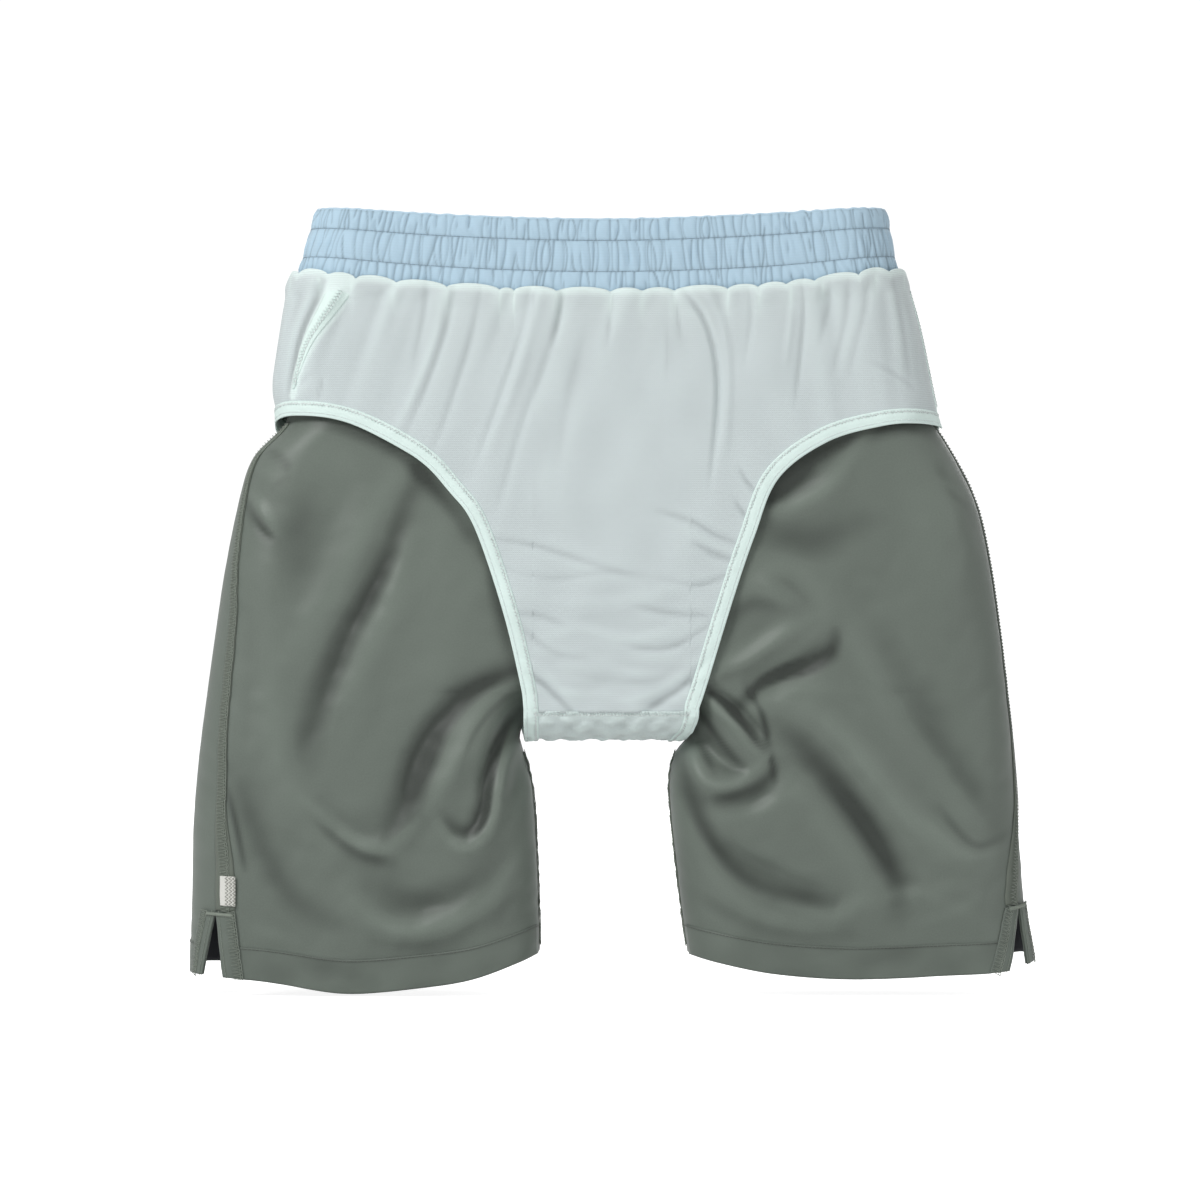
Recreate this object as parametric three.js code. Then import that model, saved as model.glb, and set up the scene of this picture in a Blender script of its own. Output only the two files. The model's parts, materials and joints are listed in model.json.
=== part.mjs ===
// Lined swim shorts turned inside out, hanging by the waistband: waist up, front towards -Y.
// Millimetres, +Z up. Heights below count from the hem; the group is then lowered so that the origin
// is the centre of the waist opening, on the centre front line.
// Every cloth layer is one closed solid wrapped round the same oval section, on its own layer.
import * as THREE from 'three';
import { LoftGeometry } from 'three/addons/geometries/LoftGeometry.js';

// Driving dimensions
const GAP = 0.3; // clearance kept between two sewn pieces
const CLOTH = 0.8; // woven shell cloth
const KNIT = 0.8; // mesh liner cloth
const TAPE = 2.0; // folded binding tape, two layers of knit round an edge
const WAIST_Z = 470; // middle of the waistband above the hem
const CENTRE_X = -6; // centre front and centre back, measured from the middle of the whole width
const HINGE_Z = 160; // crotch line, where each leg starts to swing
const FOLD_LOW = 113; // foot of the cloth that bends when a leg swings
const ARCH_HEIGHT = 30; // shell crotch above the crotch line
const CROTCH_ROUND = 36; // how softly the shell closes over the crotch
const LINER_OUT = 2.6; // liner's outer face stands this far off the shell
const BAND_HALF_DEPTH = 35;
const BAND_CLOTH = 0.6;
const ELASTIC = 1.5;
const BINDING_WIDTH = 9.5;
const SEAM_WIDTH = 7; // overlocked seam allowance
const SEAM_THICK = 0.8;
const SEAM_LIFT = 0.6; // what is sewn on the outside lies this far off the shell
const HEM_HEIGHT = 21;
const FACING_WIDTH = 13;
const VENT_TOP = 44; // height of the side slit above the hem
const BACK_LIFT = 5; // the far hem hangs this much higher
const BACK_DIP = 4; // the far waist edge sits this much lower
const LABEL = { width: 9, height: 20, thick: 0.6, bottom: 48 };
const GUSSET = { top: 178, bottom: 159 };

const { degToRad: rad, lerp, smoothstep } = THREE.MathUtils;

// A smooth function through [key, value] pairs, flat beyond both ends.
function smooth(pairs) {
  const slope = pairs.map((p, i) => {
    const a = pairs[Math.max(i - 1, 0)];
    const b = pairs[Math.min(i + 1, pairs.length - 1)];
    return (b[1] - a[1]) / (b[0] - a[0]);
  });
  return (key) => {
    if (key <= pairs[0][0]) return pairs[0][1];
    const i = pairs.findIndex((p) => p[0] >= key);
    if (i < 0) return pairs[pairs.length - 1][1];
    const [[k0, v0], [k1, v1]] = [pairs[i - 1], pairs[i]];
    const w = k1 - k0;
    const t = (key - k0) / w;
    return v0 * (1 + 2 * t) * (1 - t) ** 2 + slope[i - 1] * w * t * (1 - t) ** 2
      + v1 * t * t * (3 - 2 * t) + slope[i] * w * t * t * (t - 1);
  };
}

// Shell outline by height: outer edge, inner leg edge, hem height by x, and half depth.
const LEFT = {
  sign: -1,
  outer: smooth([[0, -269.2], [116, -266.7], [190, -258.7], [263, -248.2], [318, -237], [340, -229],
    [362, -209.5], [393, -210], [446, -201]]),
  inner: smooth([[0, -46], [60, -47.5], [125, -51], [HINGE_Z, -59]]),
  hem: smooth([[-270, 12], [-223, 8], [-169, 0], [-126, 3], [-88, 9], [-47, 24]]),
  seam: smooth([[44, 30], [112, 33], [184, 42], [238, 48], [274, 57], [325, 67], [446, 80]]),
  slit: [20, 45],
};
const RIGHT = {
  sign: 1,
  outer: smooth([[0, 269.2], [44, 263], [109, 259], [160, 255], [250, 244.5], [298, 236], [321, 228],
    [340, 218], [362, 205], [373, 201], [446, 181]]),
  inner: smooth([[0, 48], [54, 42], [98, 38], [129, 36.5], [148, 40], [HINGE_Z, 47.5]]),
  hem: smooth([[47, 24], [69, 19], [102, 12.5], [150, 9], [203, 11], [250, 14], [270, 20]]),
  seam: smooth([[50, 60], [154, 88], [300, 96], [446, 96]]),
  slit: [29, 54],
};
const SIDES = { left: LEFT, right: RIGHT };
const halfDepth = smooth([[0, 36], [HINGE_Z, 38], [300, 38], [446, 33]]);

// Inner edge of a leg, carried on over the crotch arch to the centre line.
function innerEdge(side, z) {
  if (z <= HINGE_Z) return side.inner(z);
  const rise = Math.min((z - HINGE_Z) / ARCH_HEIGHT, 1);
  return lerp(CENTRE_X, side.inner(HINGE_Z), Math.sqrt(1 - rise * rise));
}

const archPoints = Object.fromEntries(Object.entries(SIDES).map(([name, side]) => [name,
  Array.from({ length: 41 }, (_, i) => {
    const z = i < 10 ? i * 16 : HINGE_Z + ARCH_HEIGHT * Math.sin((i - 10) / 30 * Math.PI / 2);
    return new THREE.Vector2(innerEdge(side, z), z);
  })]));

// The way from the inner leg edge or crotch arch to a point: its distance and direction.
function fromEdge(name, x, z) {
  const p = new THREE.Vector2(x, z);
  const near = archPoints[name].reduce((a, b) => (b.distanceTo(p) < a.distanceTo(p) ? b : a));
  const distance = near.distanceTo(p);
  const way = distance > GAP ? p.sub(near).normalize() : new THREE.Vector2(0, 1);
  if (z < HINGE_Z) way.set(SIDES[name].sign, 0);
  return { distance, way };
}

// A point on the shell. s is the way round from the outline, + over the front and - over the back;
// deep is how far inside the outer face it lies.
function shellPoint(name, z, s, deep) {
  const side = SIDES[name];
  const round = halfDepth(z);
  const centre = side.outer(z) - side.sign * round;
  const quarter = round * Math.PI / 2;
  const way = Math.abs(s);
  const face = s >= 0 ? -1 : 1;
  const out = new THREE.Vector3();
  if (way < quarter) {
    const angle = way / round;
    const reach = round - deep;
    out.set(centre + side.sign * reach * Math.cos(angle), face * reach * Math.sin(angle), z);
  } else {
    const x = centre - side.sign * (way - quarter);
    const edge = fromEdge(name, x, z);
    const cos = 1 - Math.min(edge.distance / CROTCH_ROUND, 1);
    const sin = Math.sqrt(1 - cos * cos);
    out.set(x + edge.way.x * cos * deep, face * Math.max((round - deep) * sin, GAP / 2),
      z + edge.way.y * cos * deep);
  }
  const hang = Math.max(0, 1 - z / HINGE_Z);
  out.z += hang * (side.hem(out.x) + BACK_LIFT * smoothstep(out.y, -10, 25));
  return out;
}

// Way round the shell to its inner edge, and to the side seam on the front.
const wayToInner = (name, z) => {
  const side = SIDES[name];
  const round = halfDepth(z);
  return round * Math.PI / 2 + side.sign * (side.outer(z) - side.sign * round - innerEdge(side, z));
};
// The side seam's place; below the slit's top the two edges part.
function seamWay(name, z, edge) {
  const side = SIDES[name];
  const open = Math.max(0, 1 - z / VENT_TOP);
  const angle = lerp(side.seam(Math.max(z, VENT_TOP)), side.slit[edge], open);
  return halfDepth(z) * (Math.PI / 2 - rad(angle));
}

// Volume inside a closed geometry, negative where its faces point in.
function volumeOf(geometry) {
  const p = geometry.attributes.position;
  const index = geometry.index.array;
  const [a, b, c] = [new THREE.Vector3(), new THREE.Vector3(), new THREE.Vector3()];
  let volume = 0;
  for (let i = 0; i < index.length; i += 3) {
    a.fromBufferAttribute(p, index[i]);
    b.fromBufferAttribute(p, index[i + 1]);
    c.fromBufferAttribute(p, index[i + 2]);
    volume += a.dot(b.cross(c)) / 6;
  }
  return volume;
}

// A loft whose last section meets its first, with its faces pointing out whichever way round they run.
function loft(sections) {
  const caps = { capStart: false, capEnd: false };
  const forward = new LoftGeometry(sections, caps);
  const turned = new LoftGeometry(sections.map((section) => [...section].reverse()), caps);
  return volumeOf(forward) > volumeOf(turned) ? forward : turned;
}

// A closed solid between two layers, cut into the same triangles on both, with a rim of quads round it.
// Each row holds [outerPoint, innerPoint] pairs.
function layered(rows) {
  const width = rows[0].length;
  const at = (row, column, layer) => (row * 2 + layer) * width + column;
  let index = [];
  const quad = (a, b, c, d) => index.push(a, b, c, a, c, d);
  rows.slice(1).forEach((_, r) => {
    for (let c = 0; c < width - 1; c++) {
      quad(at(r, c, 0), at(r, c + 1, 0), at(r + 1, c + 1, 0), at(r + 1, c, 0));
      quad(at(r, c, 1), at(r + 1, c, 1), at(r + 1, c + 1, 1), at(r, c + 1, 1));
    }
    quad(at(r, 0, 0), at(r + 1, 0, 0), at(r + 1, 0, 1), at(r, 0, 1));
    quad(at(r, width - 1, 0), at(r, width - 1, 1), at(r + 1, width - 1, 1), at(r + 1, width - 1, 0));
  });
  const last = rows.length - 1;
  for (let c = 0; c < width - 1; c++) {
    quad(at(0, c, 0), at(0, c, 1), at(0, c + 1, 1), at(0, c + 1, 0));
    quad(at(last, c, 0), at(last, c + 1, 0), at(last, c + 1, 1), at(last, c, 1));
  }
  const geometry = new THREE.BufferGeometry().setFromPoints(
    rows.flatMap((row) => [0, 1].flatMap((layer) => row.map((pair) => pair[layer]))));
  geometry.setIndex(index);
  if (volumeOf(geometry) < 0) {
    index = index.map((_, i) => index[i % 3 === 1 ? i + 1 : i % 3 === 2 ? i - 1 : i]);
    geometry.setIndex(index);
  }
  geometry.computeVertexNormals();
  return geometry;
}

const group = new THREE.Group();
const look = (color, roughness) => new THREE.MeshStandardMaterial({ color, roughness, metalness: 0 });
const LOOK = {
  band: () => look(0xb0cad9, 0.75),
  elastic: () => look(0xe8e8e4, 0.85),
  mesh: () => look(0xc9d4d6, 0.85),
  tape: () => look(0xe4f2ee, 0.8),
  satin: () => look(0x6f776d, 0.42),
  seam: () => look(0x77806f, 0.7),
  label: () => look(0xece9e0, 0.7),
};

function add(name, geometry, material) {
  const mesh = new THREE.Mesh(geometry, material);
  mesh.name = name;
  group.add(mesh);
}

// Columns across a panel: even round the side, even on the flat, closer round the inner edge.
function panelWays(name, z, from, face) {
  const round = halfDepth(z);
  const inner = wayToInner(name, z) - GAP / 2;
  const flat = round * Math.PI / 2;
  const start = face * from;
  const ways = [];
  const turn = 5;
  for (let i = 0; i < turn; i++) ways.push(lerp(start, flat, i / turn));
  for (const share of [0, 0.3, 0.55, 0.76, 0.9]) ways.push(lerp(flat, inner - CROTCH_ROUND, share));
  for (let i = 0; i <= 4; i++) ways.push(inner - CROTCH_ROUND * (1 - Math.sin(rad(22.5 * i))));
  return ways.map((w) => face * w);
}

const bandEdge = smooth([[-203, 458.5], [-110, 449.5], [CENTRE_X, 446], [100, 449.5], [185, 459]]);
const dip = (y) => BACK_DIP * smoothstep(y, -10, 30);

// One half of one shell panel, as far round as the side seam.
function shellPanel(name, face, levels) {
  const edge = face > 0 ? 0 : 1;
  return layered(levels.map((z) => {
    const from = seamWay(name, z, edge) + face * GAP / 2;
    return panelWays(name, z, from, face).map((s) => [0, CLOTH].map((deep) => shellPoint(name, z, s, deep)));
  }));
}

// Each panel is an upper piece, a piece that bends when the leg swings, and a lower piece.
const UPPER_LEVELS = [160.15, 172, 182, 188, 190.2, 200, 212, 228, 280, 318, 340, 362, 400, 440];
const FOLD_LEVELS = [FOLD_LOW + GAP / 2, 124, 132, 140, 150, 159.85];
const LOWER_LEVELS = [0, 11, 22, 33, VENT_TOP, 60, 75, 92, 104, FOLD_LOW - GAP / 2];
for (const name of ['left', 'right']) {
  for (const [word, face] of [['front', 1], ['back', -1]]) {
    add(`shell_${word}_${name}_upper`, shellPanel(name, face, UPPER_LEVELS), LOOK.satin());
    add(`shell_${word}_${name}_fold`, shellPanel(name, face, FOLD_LEVELS), LOOK.satin());
    add(`shell_${word}_${name}_lower`, shellPanel(name, face, LOWER_LEVELS), LOOK.satin());
  }
}

// A strip lying on the shell's outer face. ways(z) lists its columns' ways round at one level.
function strip(name, levels, ways, lift, thick) {
  return layered(levels.map((z) => ways(z).map((s) =>
    [lift + thick, lift].map((up) => shellPoint(name, z, s, -up)))));
}
// Evenly spaced columns between two ways round.
const evenly = (from, to, steps) => Array.from({ length: steps + 1 }, (_, i) => lerp(from, to, i / steps));

for (const name of ['left', 'right']) {
  // Side seam allowances, turned towards the front; the upper one stops under the liner.
  const seamWays = (z) => evenly(seamWay(name, z, 0), seamWay(name, z, 0) + SEAM_WIDTH, 1);
  add(`side_seam_${name}_upper`,
    strip(name, [160.15, 200, 240, 280, 318, 330], seamWays, SEAM_LIFT, SEAM_THICK), LOOK.seam());
  add(`side_seam_${name}_fold`, strip(name, FOLD_LEVELS, seamWays, SEAM_LIFT, SEAM_THICK), LOOK.seam());
  add(`side_seam_${name}_lower`, strip(name, [VENT_TOP + 1, 60, 75, 92, 104, FOLD_LOW - GAP / 2], seamWays,
    SEAM_LIFT, SEAM_THICK), LOOK.seam());

  // Inseam allowance, a ridge standing on the inner leg edge.
  const inseam = [24, VENT_TOP, 75, 110, 138, 150].map((z) => {
    const side = SIDES[name];
    const x = side.inner(z) - side.sign * (GAP + 0.1);
    const up = Math.max(0, 1 - z / HINGE_Z) * (side.hem(x) + BACK_LIFT / 3);
    return [-1, 1].map((y) => [1, 0].map((far) => new THREE.Vector3(
      x - side.sign * far * 1.1, y * SEAM_WIDTH / 2, z + up)));
  });
  add(`inseam_${name}`, layered(inseam), LOOK.seam());

  // Turned-up hems, stopping at the slit facings.
  for (const [word, face] of [['front', 1], ['back', -1]]) {
    const edge = face > 0 ? 0 : 1;
    const hemWays = (z) => {
      const from = seamWay(name, z, edge) + face * (FACING_WIDTH + GAP);
      const to = face * (wayToInner(name, z) - SEAM_WIDTH - 2);
      const columns = panelWays(name, z, seamWay(name, z, edge), face);
      const first = face * seamWay(name, 0, edge) + FACING_WIDTH + 1;
      const start = panelWays(name, 0, seamWay(name, 0, edge), face).findIndex((s) => face * s > first);
      return [from, ...columns.slice(start, -2), to];
    };
    add(`hem_${word}_${name}`, strip(name, [0, 11, HEM_HEIGHT], hemWays, SEAM_LIFT, CLOTH), LOOK.satin());
    const facingWays = (z) => evenly(seamWay(name, z, edge) + face * GAP / 2,
      seamWay(name, z, edge) + face * FACING_WIDTH, 2);
    add(`vent_facing_${word}_${name}`,
      strip(name, [0, 11, 22, 33, VENT_TOP - 1], facingWays, SEAM_LIFT, CLOTH), LOOK.seam());
  }

  // Bar tack that closes the top of the slit, on top of the facings.
  const tackLift = SEAM_LIFT + CLOTH + GAP;
  const tackWays = (z) => evenly(seamWay(name, z, 1) - 6, seamWay(name, z, 0) + FACING_WIDTH - 2, 4);
  add(`bar_tack_${name}`,
    strip(name, [VENT_TOP - 3, VENT_TOP - 1], tackWays, tackLift, 0.8), LOOK.seam());
}

// Woven label caught in the left side seam, lying over the seam allowance.
const labelWays = (z) => evenly(seamWay('left', z, 0) - 1.5, seamWay('left', z, 0) - 1.5 + LABEL.width, 2);
add('woven_label', strip('left', [LABEL.bottom, LABEL.bottom + LABEL.height], labelWays,
  SEAM_LIFT + SEAM_THICK + GAP, LABEL.thick), LOOK.label());

// Centre front and centre back seam allowances, between the shell and the liner.
for (const [word, face] of [['front', -1], ['back', 1]]) {
  const rows = [226, 300, 380, 438].map((z) => [-1, 1].map((x) => [SEAM_THICK, 0].map((up) =>
    new THREE.Vector3(CENTRE_X + x * SEAM_WIDTH / 2, face * (halfDepth(z) + GAP + up), z))));
  add(`rise_seam_${word}`, layered(rows), LOOK.seam());
}

// The liner follows its own outline, outside the shell.
const LINER = {
  left: smooth([[300, -244], [318, -240], [340, -232.5], [360, -215], [382, -216.5], [393, -216],
    [446, -207.5], [458, -203]]),
  right: smooth([[300, 239], [321, 231.5], [340, 222], [360, 209], [373, 206], [422, 196], [459, 185.5]]),
};
// A point on the liner. q is the way round from centre front, + to the right; deep is inwards.
function linerPoint(q, z, deep) {
  const round = halfDepth(z) + LINER_OUT;
  const sign = Math.sign(q) || 1;
  const outer = sign < 0 ? LINER.left(z) : LINER.right(z);
  const flat = Math.abs(outer - sign * round - CENTRE_X);
  const way = Math.abs(q);
  const turn = way - flat;
  if (turn < 0) return new THREE.Vector3(CENTRE_X + q, -(round - deep), z);
  const angle = turn / round;
  if (angle < Math.PI) {
    return new THREE.Vector3(CENTRE_X + sign * (flat + (round - deep) * Math.sin(angle)),
      -(round - deep) * Math.cos(angle), z);
  }
  return new THREE.Vector3(CENTRE_X + sign * (flat - (turn - Math.PI * round)), round - deep, z);
}
// Way round from centre front to the outline, and on to centre back, at one height.
const linerSide = (sign, z) => {
  const round = halfDepth(z) + LINER_OUT;
  const outer = sign < 0 ? LINER.left(z) : LINER.right(z);
  return Math.abs(outer - sign * round - CENTRE_X) + round * Math.PI / 2;
};

// Leg opening edges of the liner as [way from the centre, height], front then back.
const OPENING = {
  left: [[50, 180], [52, 195], [63, 241], [81, 294], [96, 316], [118, 339], [160, 360], [195, 365],
    [226, 361]],
  right: [[61, 180], [66, 195], [80, 241], [95, 287], [110, 325], [140, 348], [175, 358], [200, 360],
    [235, 358]],
  back: [[54, 180], [66, 195], [96, 236], [128, 284], [158, 322], [190, 346], [226, 361]],
};
// The curve of one opening edge; past 150 mm its way round is stretched to end at the outline.
const openingCurve = (pairs, sign, end) => {
  const last = pairs[pairs.length - 1][0];
  return new THREE.SplineCurve(pairs.map(([way, z]) => {
    const share = Math.max(0, (way - 150) / (last - 150));
    return new THREE.Vector2(sign * lerp(way, end * way / last, share), z);
  }));
};
const EDGE_STEPS = 20;
// Points of one opening edge, set in from it by some width.
function edgePoints(name, face, inset) {
  const sign = SIDES[name].sign;
  const pairs = face > 0 ? OPENING[name] : OPENING.back;
  const curve = openingCurve(pairs, sign, linerSide(sign, 361));
  return Array.from({ length: EDGE_STEPS + 1 }, (_, i) => {
    const u = i / EDGE_STEPS;
    const p = curve.getPointAt(u);
    const t = curve.getTangentAt(u);
    if (i === 0) t.set(sign * 0.1, 1).normalize();
    if (i === EDGE_STEPS) t.set(sign, 0);
    const out = new THREE.Vector2(p.x - sign * t.y * inset, p.y + sign * t.x * inset);
    const narrow = linerSide(sign, out.y) / linerSide(sign, 361) - 1;
    out.x *= 1 + narrow * smoothstep(Math.abs(out.x), 80, 226);
    return out;
  });
}

// Liner front and back panels, between the leg openings, the gusset and the waistband.
const PANEL_ROWS = 6;
for (const [word, face] of [['front', 1], ['back', -1]]) {
  const inset = BINDING_WIDTH + GAP;
  const half = (name) => edgePoints(name, face, inset).map((p, i) =>
    (i === 0 ? [p.x - SIDES[name].sign * 5 * GAP, GUSSET.top + GAP] : [p.x, p.y]));
  const columns = [...half('left').reverse(), [-22, GUSSET.top + GAP], [0.01, GUSSET.top + GAP],
    [22, GUSSET.top + GAP], ...half('right')];
  const rows = columns.map(([q, bottom], i) => {
    const trim = i === 0 ? GAP : i === columns.length - 1 ? -GAP : 0;
    const foot = linerPoint(q, bottom, 0);
    const top = bandEdge(foot.x) - dip(face * foot.y) - 2.5;
    return Array.from({ length: PANEL_ROWS + 1 }, (_, k) => {
      const z = lerp(bottom, top, k / PANEL_ROWS);
      const widen = linerSide(Math.sign(q), z) / linerSide(Math.sign(q), bottom) - 1;
      const way = q * (1 + widen * smoothstep(Math.abs(q), 80, 226));
      return [0, KNIT].map((deep) => {
        const p = linerPoint(way + trim, z, deep);
        if (face < 0) p.y = -p.y;
        return p;
      });
    });
  });
  add(`liner_panel_${word}`, layered(rows), LOOK.mesh());
}

// Crotch gusset: from the front panel, under the crotch, to the back panel.
const gussetSide = halfDepth(GUSSET.top) + LINER_OUT;
// Half width of the gusset with its bindings; it narrows towards the lowest point.
function gussetHalf(name, turn) {
  const low = name === 'left' ? 50 : 51;
  const high = turn > Math.PI / 2 ? OPENING.back[0][0] : OPENING[name][0][0];
  return lerp(low, high, Math.abs(Math.cos(turn)) ** 1.5);
}
function gussetPoint(x, turn, deep) {
  const drop = GUSSET.top - GUSSET.bottom - deep;
  const y = -(gussetSide - deep) * Math.cos(turn);
  return new THREE.Vector3(CENTRE_X + x, y, GUSSET.top - drop * Math.sin(turn));
}
add('liner_gusset', layered([0, 0.25, 0.5, 0.75, 1].map((share) =>
  Array.from({ length: 17 }, (_, i) => [0, KNIT].map((deep) => {
    const turn = Math.PI * i / 16;
    const inset = BINDING_WIDTH + 2 * GAP;
    const x = lerp(inset - gussetHalf('left', turn), gussetHalf('right', turn) - inset, share);
    return gussetPoint(x, turn, deep);
  })))), LOOK.mesh());

// Binding tape round each leg opening: up the front, round the side, down the back, under the crotch.
for (const name of ['left', 'right']) {
  const sign = SIDES[name].sign;
  const ring = [];
  for (const face of [1, -1]) {
    const edge = edgePoints(name, face, 0);
    const inset = edgePoints(name, face, BINDING_WIDTH);
    const stations = edge.map((p, i) => [p, inset[i]]);
    if (face < 0) stations.reverse().shift();
    for (const pair of stations) {
      ring.push(pair.map((p) => [0, 1].map((layer) => {
        const point = linerPoint(p.x, p.y, KNIT / 2 - TAPE / 2 + layer * TAPE);
        if (face < 0) point.y = -point.y;
        return point;
      })));
    }
  }
  const under = 8;
  for (let i = 1; i < under; i++) {
    const turn = Math.PI * (1 - i / under);
    const foot = gussetHalf(name, turn);
    ring.push([foot, foot - BINDING_WIDTH].map((x) => [0, 1].map((layer) =>
      gussetPoint(sign * x, turn, KNIT / 2 - TAPE / 2 + layer * TAPE))));
  }
  ring.push(ring[0]);
  const sections = ring.map(([edge, inset]) => [edge[0], inset[0], inset[1], edge[1]]);
  add(`leg_binding_${name}`, loft(sections), LOOK.tape());
}

// Liner side seam allowances, standing on the outside of the mesh.
// Way from the outline to each strip's front edge at its foot, and how it slants with height.
const LINER_SEAM = { left: { foot: -41, slant: -0.27 }, right: { foot: 4, slant: 0 } };
for (const name of ['left', 'right']) {
  const sign = SIDES[name].sign;
  const { foot, slant } = LINER_SEAM[name];
  const rows = [384, 394, 404, 414, 424, 434, 444].map((z) => [foot, foot + SEAM_WIDTH].map((back) =>
    [SEAM_THICK, 0].map((up) => linerPoint(
      sign * (linerSide(sign, z) + back + (z - 384) * slant), z, -1.5 * SEAM_LIFT - up))));
  add(`liner_side_seam_${name}`, layered(rows), LOOK.tape());
}

// Waistband: one strip folded over the elastic, open below. Stations go once round.
const STRAIGHT = 0.62; // cosine of the turn at which a flat side gives way to a rounded end
const BAND_TOP = smooth([[-193, 499], [-100, 494], [-8, 492], [80, 494], [177, 499]]);
const BAND_END = { '-1': -189, 1: 175 };
const bandLean = { '-1': 12, 1: 8 }; // how much wider the lower edge is, each side
function bandPoint(turn, up, deep) {
  const sign = Math.cos(turn) < 0 ? -1 : 1;
  const end = BAND_END[sign] + sign * bandLean[sign] * (1 - up);
  const flat = end - sign * BAND_HALF_DEPTH;
  const y = -Math.sin(turn);
  const round = BAND_HALF_DEPTH - deep;
  const straight = Math.abs(Math.cos(turn)) < STRAIGHT;
  const x = straight ? lerp(CENTRE_X, flat, Math.abs(Math.cos(turn)) / STRAIGHT)
    : flat + sign * round * Math.sin(Math.PI / 2 * (Math.abs(Math.cos(turn)) - STRAIGHT) / (1 - STRAIGHT));
  const swing = Math.PI / 2 * (Math.abs(Math.cos(turn)) - STRAIGHT) / (1 - STRAIGHT);
  const depth = straight ? Math.sign(y) * round : Math.sign(y) * round * Math.cos(swing);
  return new THREE.Vector3(x, depth, lerp(bandEdge(x), BAND_TOP(x), up) - dip(depth));
}
// Stations round the band: [turn] chosen so that the flats and the ends each have even steps.
const bandTurns = [];
for (const quarter of [0, 1, 2, 3]) {
  for (let i = 0; i < 10; i++) {
    const k = quarter % 2 ? (10 - i) / 10 : i / 10;
    const level = k < 0.5 ? 1 - (1 - STRAIGHT) * (k / 0.5) : STRAIGHT * (1 - (k - 0.5) / 0.5);
    const base = Math.acos(Math.min(1, level));
    bandTurns.push([base, Math.PI - base, Math.PI + base, 2 * Math.PI - base][quarter]);
  }
}
function bandRing(profile) {
  const sections = bandTurns.map((turn) => profile.map(([up, deep]) => bandPoint(turn, up, deep)));
  return loft([...sections, sections[0]]);
}
const inside = BAND_CLOTH + 2 * GAP + ELASTIC;
add('waistband_casing', bandRing([
  [0, 0], [1, 0], [1, inside + BAND_CLOTH], [0, inside + BAND_CLOTH],
  [0, inside], [0.98, inside], [0.98, BAND_CLOTH], [0, BAND_CLOTH],
]), LOOK.band());
add('waist_elastic', bandRing([
  [0.08, BAND_CLOTH + GAP], [0.95, BAND_CLOTH + GAP],
  [0.95, BAND_CLOTH + GAP + ELASTIC], [0.08, BAND_CLOTH + GAP + ELASTIC],
]), LOOK.elastic());

group.position.set(-CENTRE_X, 0, -WAIST_Z);

export default group;
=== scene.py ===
"""Lined swim shorts turned inside out, for Blender 4.5: a gathered elastic waistband, a mesh brief liner
with bound leg openings, and satin shell legs with overlocked seams and side slits."""

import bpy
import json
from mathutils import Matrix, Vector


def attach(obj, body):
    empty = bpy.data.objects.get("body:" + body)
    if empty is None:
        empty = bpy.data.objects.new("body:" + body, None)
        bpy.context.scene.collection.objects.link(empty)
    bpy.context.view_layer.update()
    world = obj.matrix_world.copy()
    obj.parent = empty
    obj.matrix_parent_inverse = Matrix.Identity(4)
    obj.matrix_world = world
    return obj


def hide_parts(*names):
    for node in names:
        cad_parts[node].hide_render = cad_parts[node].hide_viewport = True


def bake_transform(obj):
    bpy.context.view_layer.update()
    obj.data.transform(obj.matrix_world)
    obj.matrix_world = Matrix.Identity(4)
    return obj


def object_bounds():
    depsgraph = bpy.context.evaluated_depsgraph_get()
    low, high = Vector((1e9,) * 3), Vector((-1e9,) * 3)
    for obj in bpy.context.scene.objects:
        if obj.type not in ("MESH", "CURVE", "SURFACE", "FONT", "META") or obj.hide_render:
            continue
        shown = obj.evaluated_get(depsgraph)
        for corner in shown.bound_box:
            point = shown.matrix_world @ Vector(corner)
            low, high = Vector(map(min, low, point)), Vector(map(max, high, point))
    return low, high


bl_info = {
    "name": "Lined Swim Shorts",
    "version": (1, 0, 0),
    "blender": (4, 5, 0),
    "location": "View3D > Sidebar > Shorts",
    "description": "Builds a pair of lined swim shorts, turned inside out, piece by piece",
    "category": "Object",
}

import json
import math

import bmesh
import bpy
import numpy as np
from mathutils import Vector

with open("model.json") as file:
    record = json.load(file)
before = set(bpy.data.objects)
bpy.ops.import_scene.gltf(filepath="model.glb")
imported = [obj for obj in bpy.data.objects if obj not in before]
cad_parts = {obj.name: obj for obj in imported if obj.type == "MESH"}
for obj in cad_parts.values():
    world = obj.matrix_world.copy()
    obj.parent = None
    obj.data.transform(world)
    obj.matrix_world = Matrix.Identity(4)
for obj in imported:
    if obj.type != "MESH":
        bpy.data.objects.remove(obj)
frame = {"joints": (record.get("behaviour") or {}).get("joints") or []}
CAD_BOX = [list(corner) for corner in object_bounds()]

MM = 0.001
HINGE_Z = frame["joints"][0]["pos_m"][2]

# Places are worked out in millimetres: x across from the middle of the whole width, y to the back,
# h up from the hem. put() turns them into the frame's metres.
CENTRE_X = -6.0  # the centre line
WAIST_H = 470.0  # height of the frame's origin
CROTCH_H = WAIST_H + HINGE_Z / MM  # height of the line that the legs swing about
ARCH = 30.0  # how far the gap between the legs reaches above that line
CROTCH_ROUND = 36.0  # distance from the inner edges over which the shell rounds inwards
LINER_OUT = 2.6  # how far outside the shell's smooth shape the liner's lies
BAND_DEPTH = 35.0  # half of the band's depth from front to back
SLIT_H = 44.0  # height of the side slits
BACK_LIFT = 5.0  # how much higher the hems lie at the back
BACK_DIP = 4.0  # how much lower the waist lies at the back
BAND_ROUND = 820.0  # way round the band
UNDER_TAPE = 0.62  # share of the binding's width that laps over the liner's cut edge
WOBBLE = 0.06  # how much stitches differ in size
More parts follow.
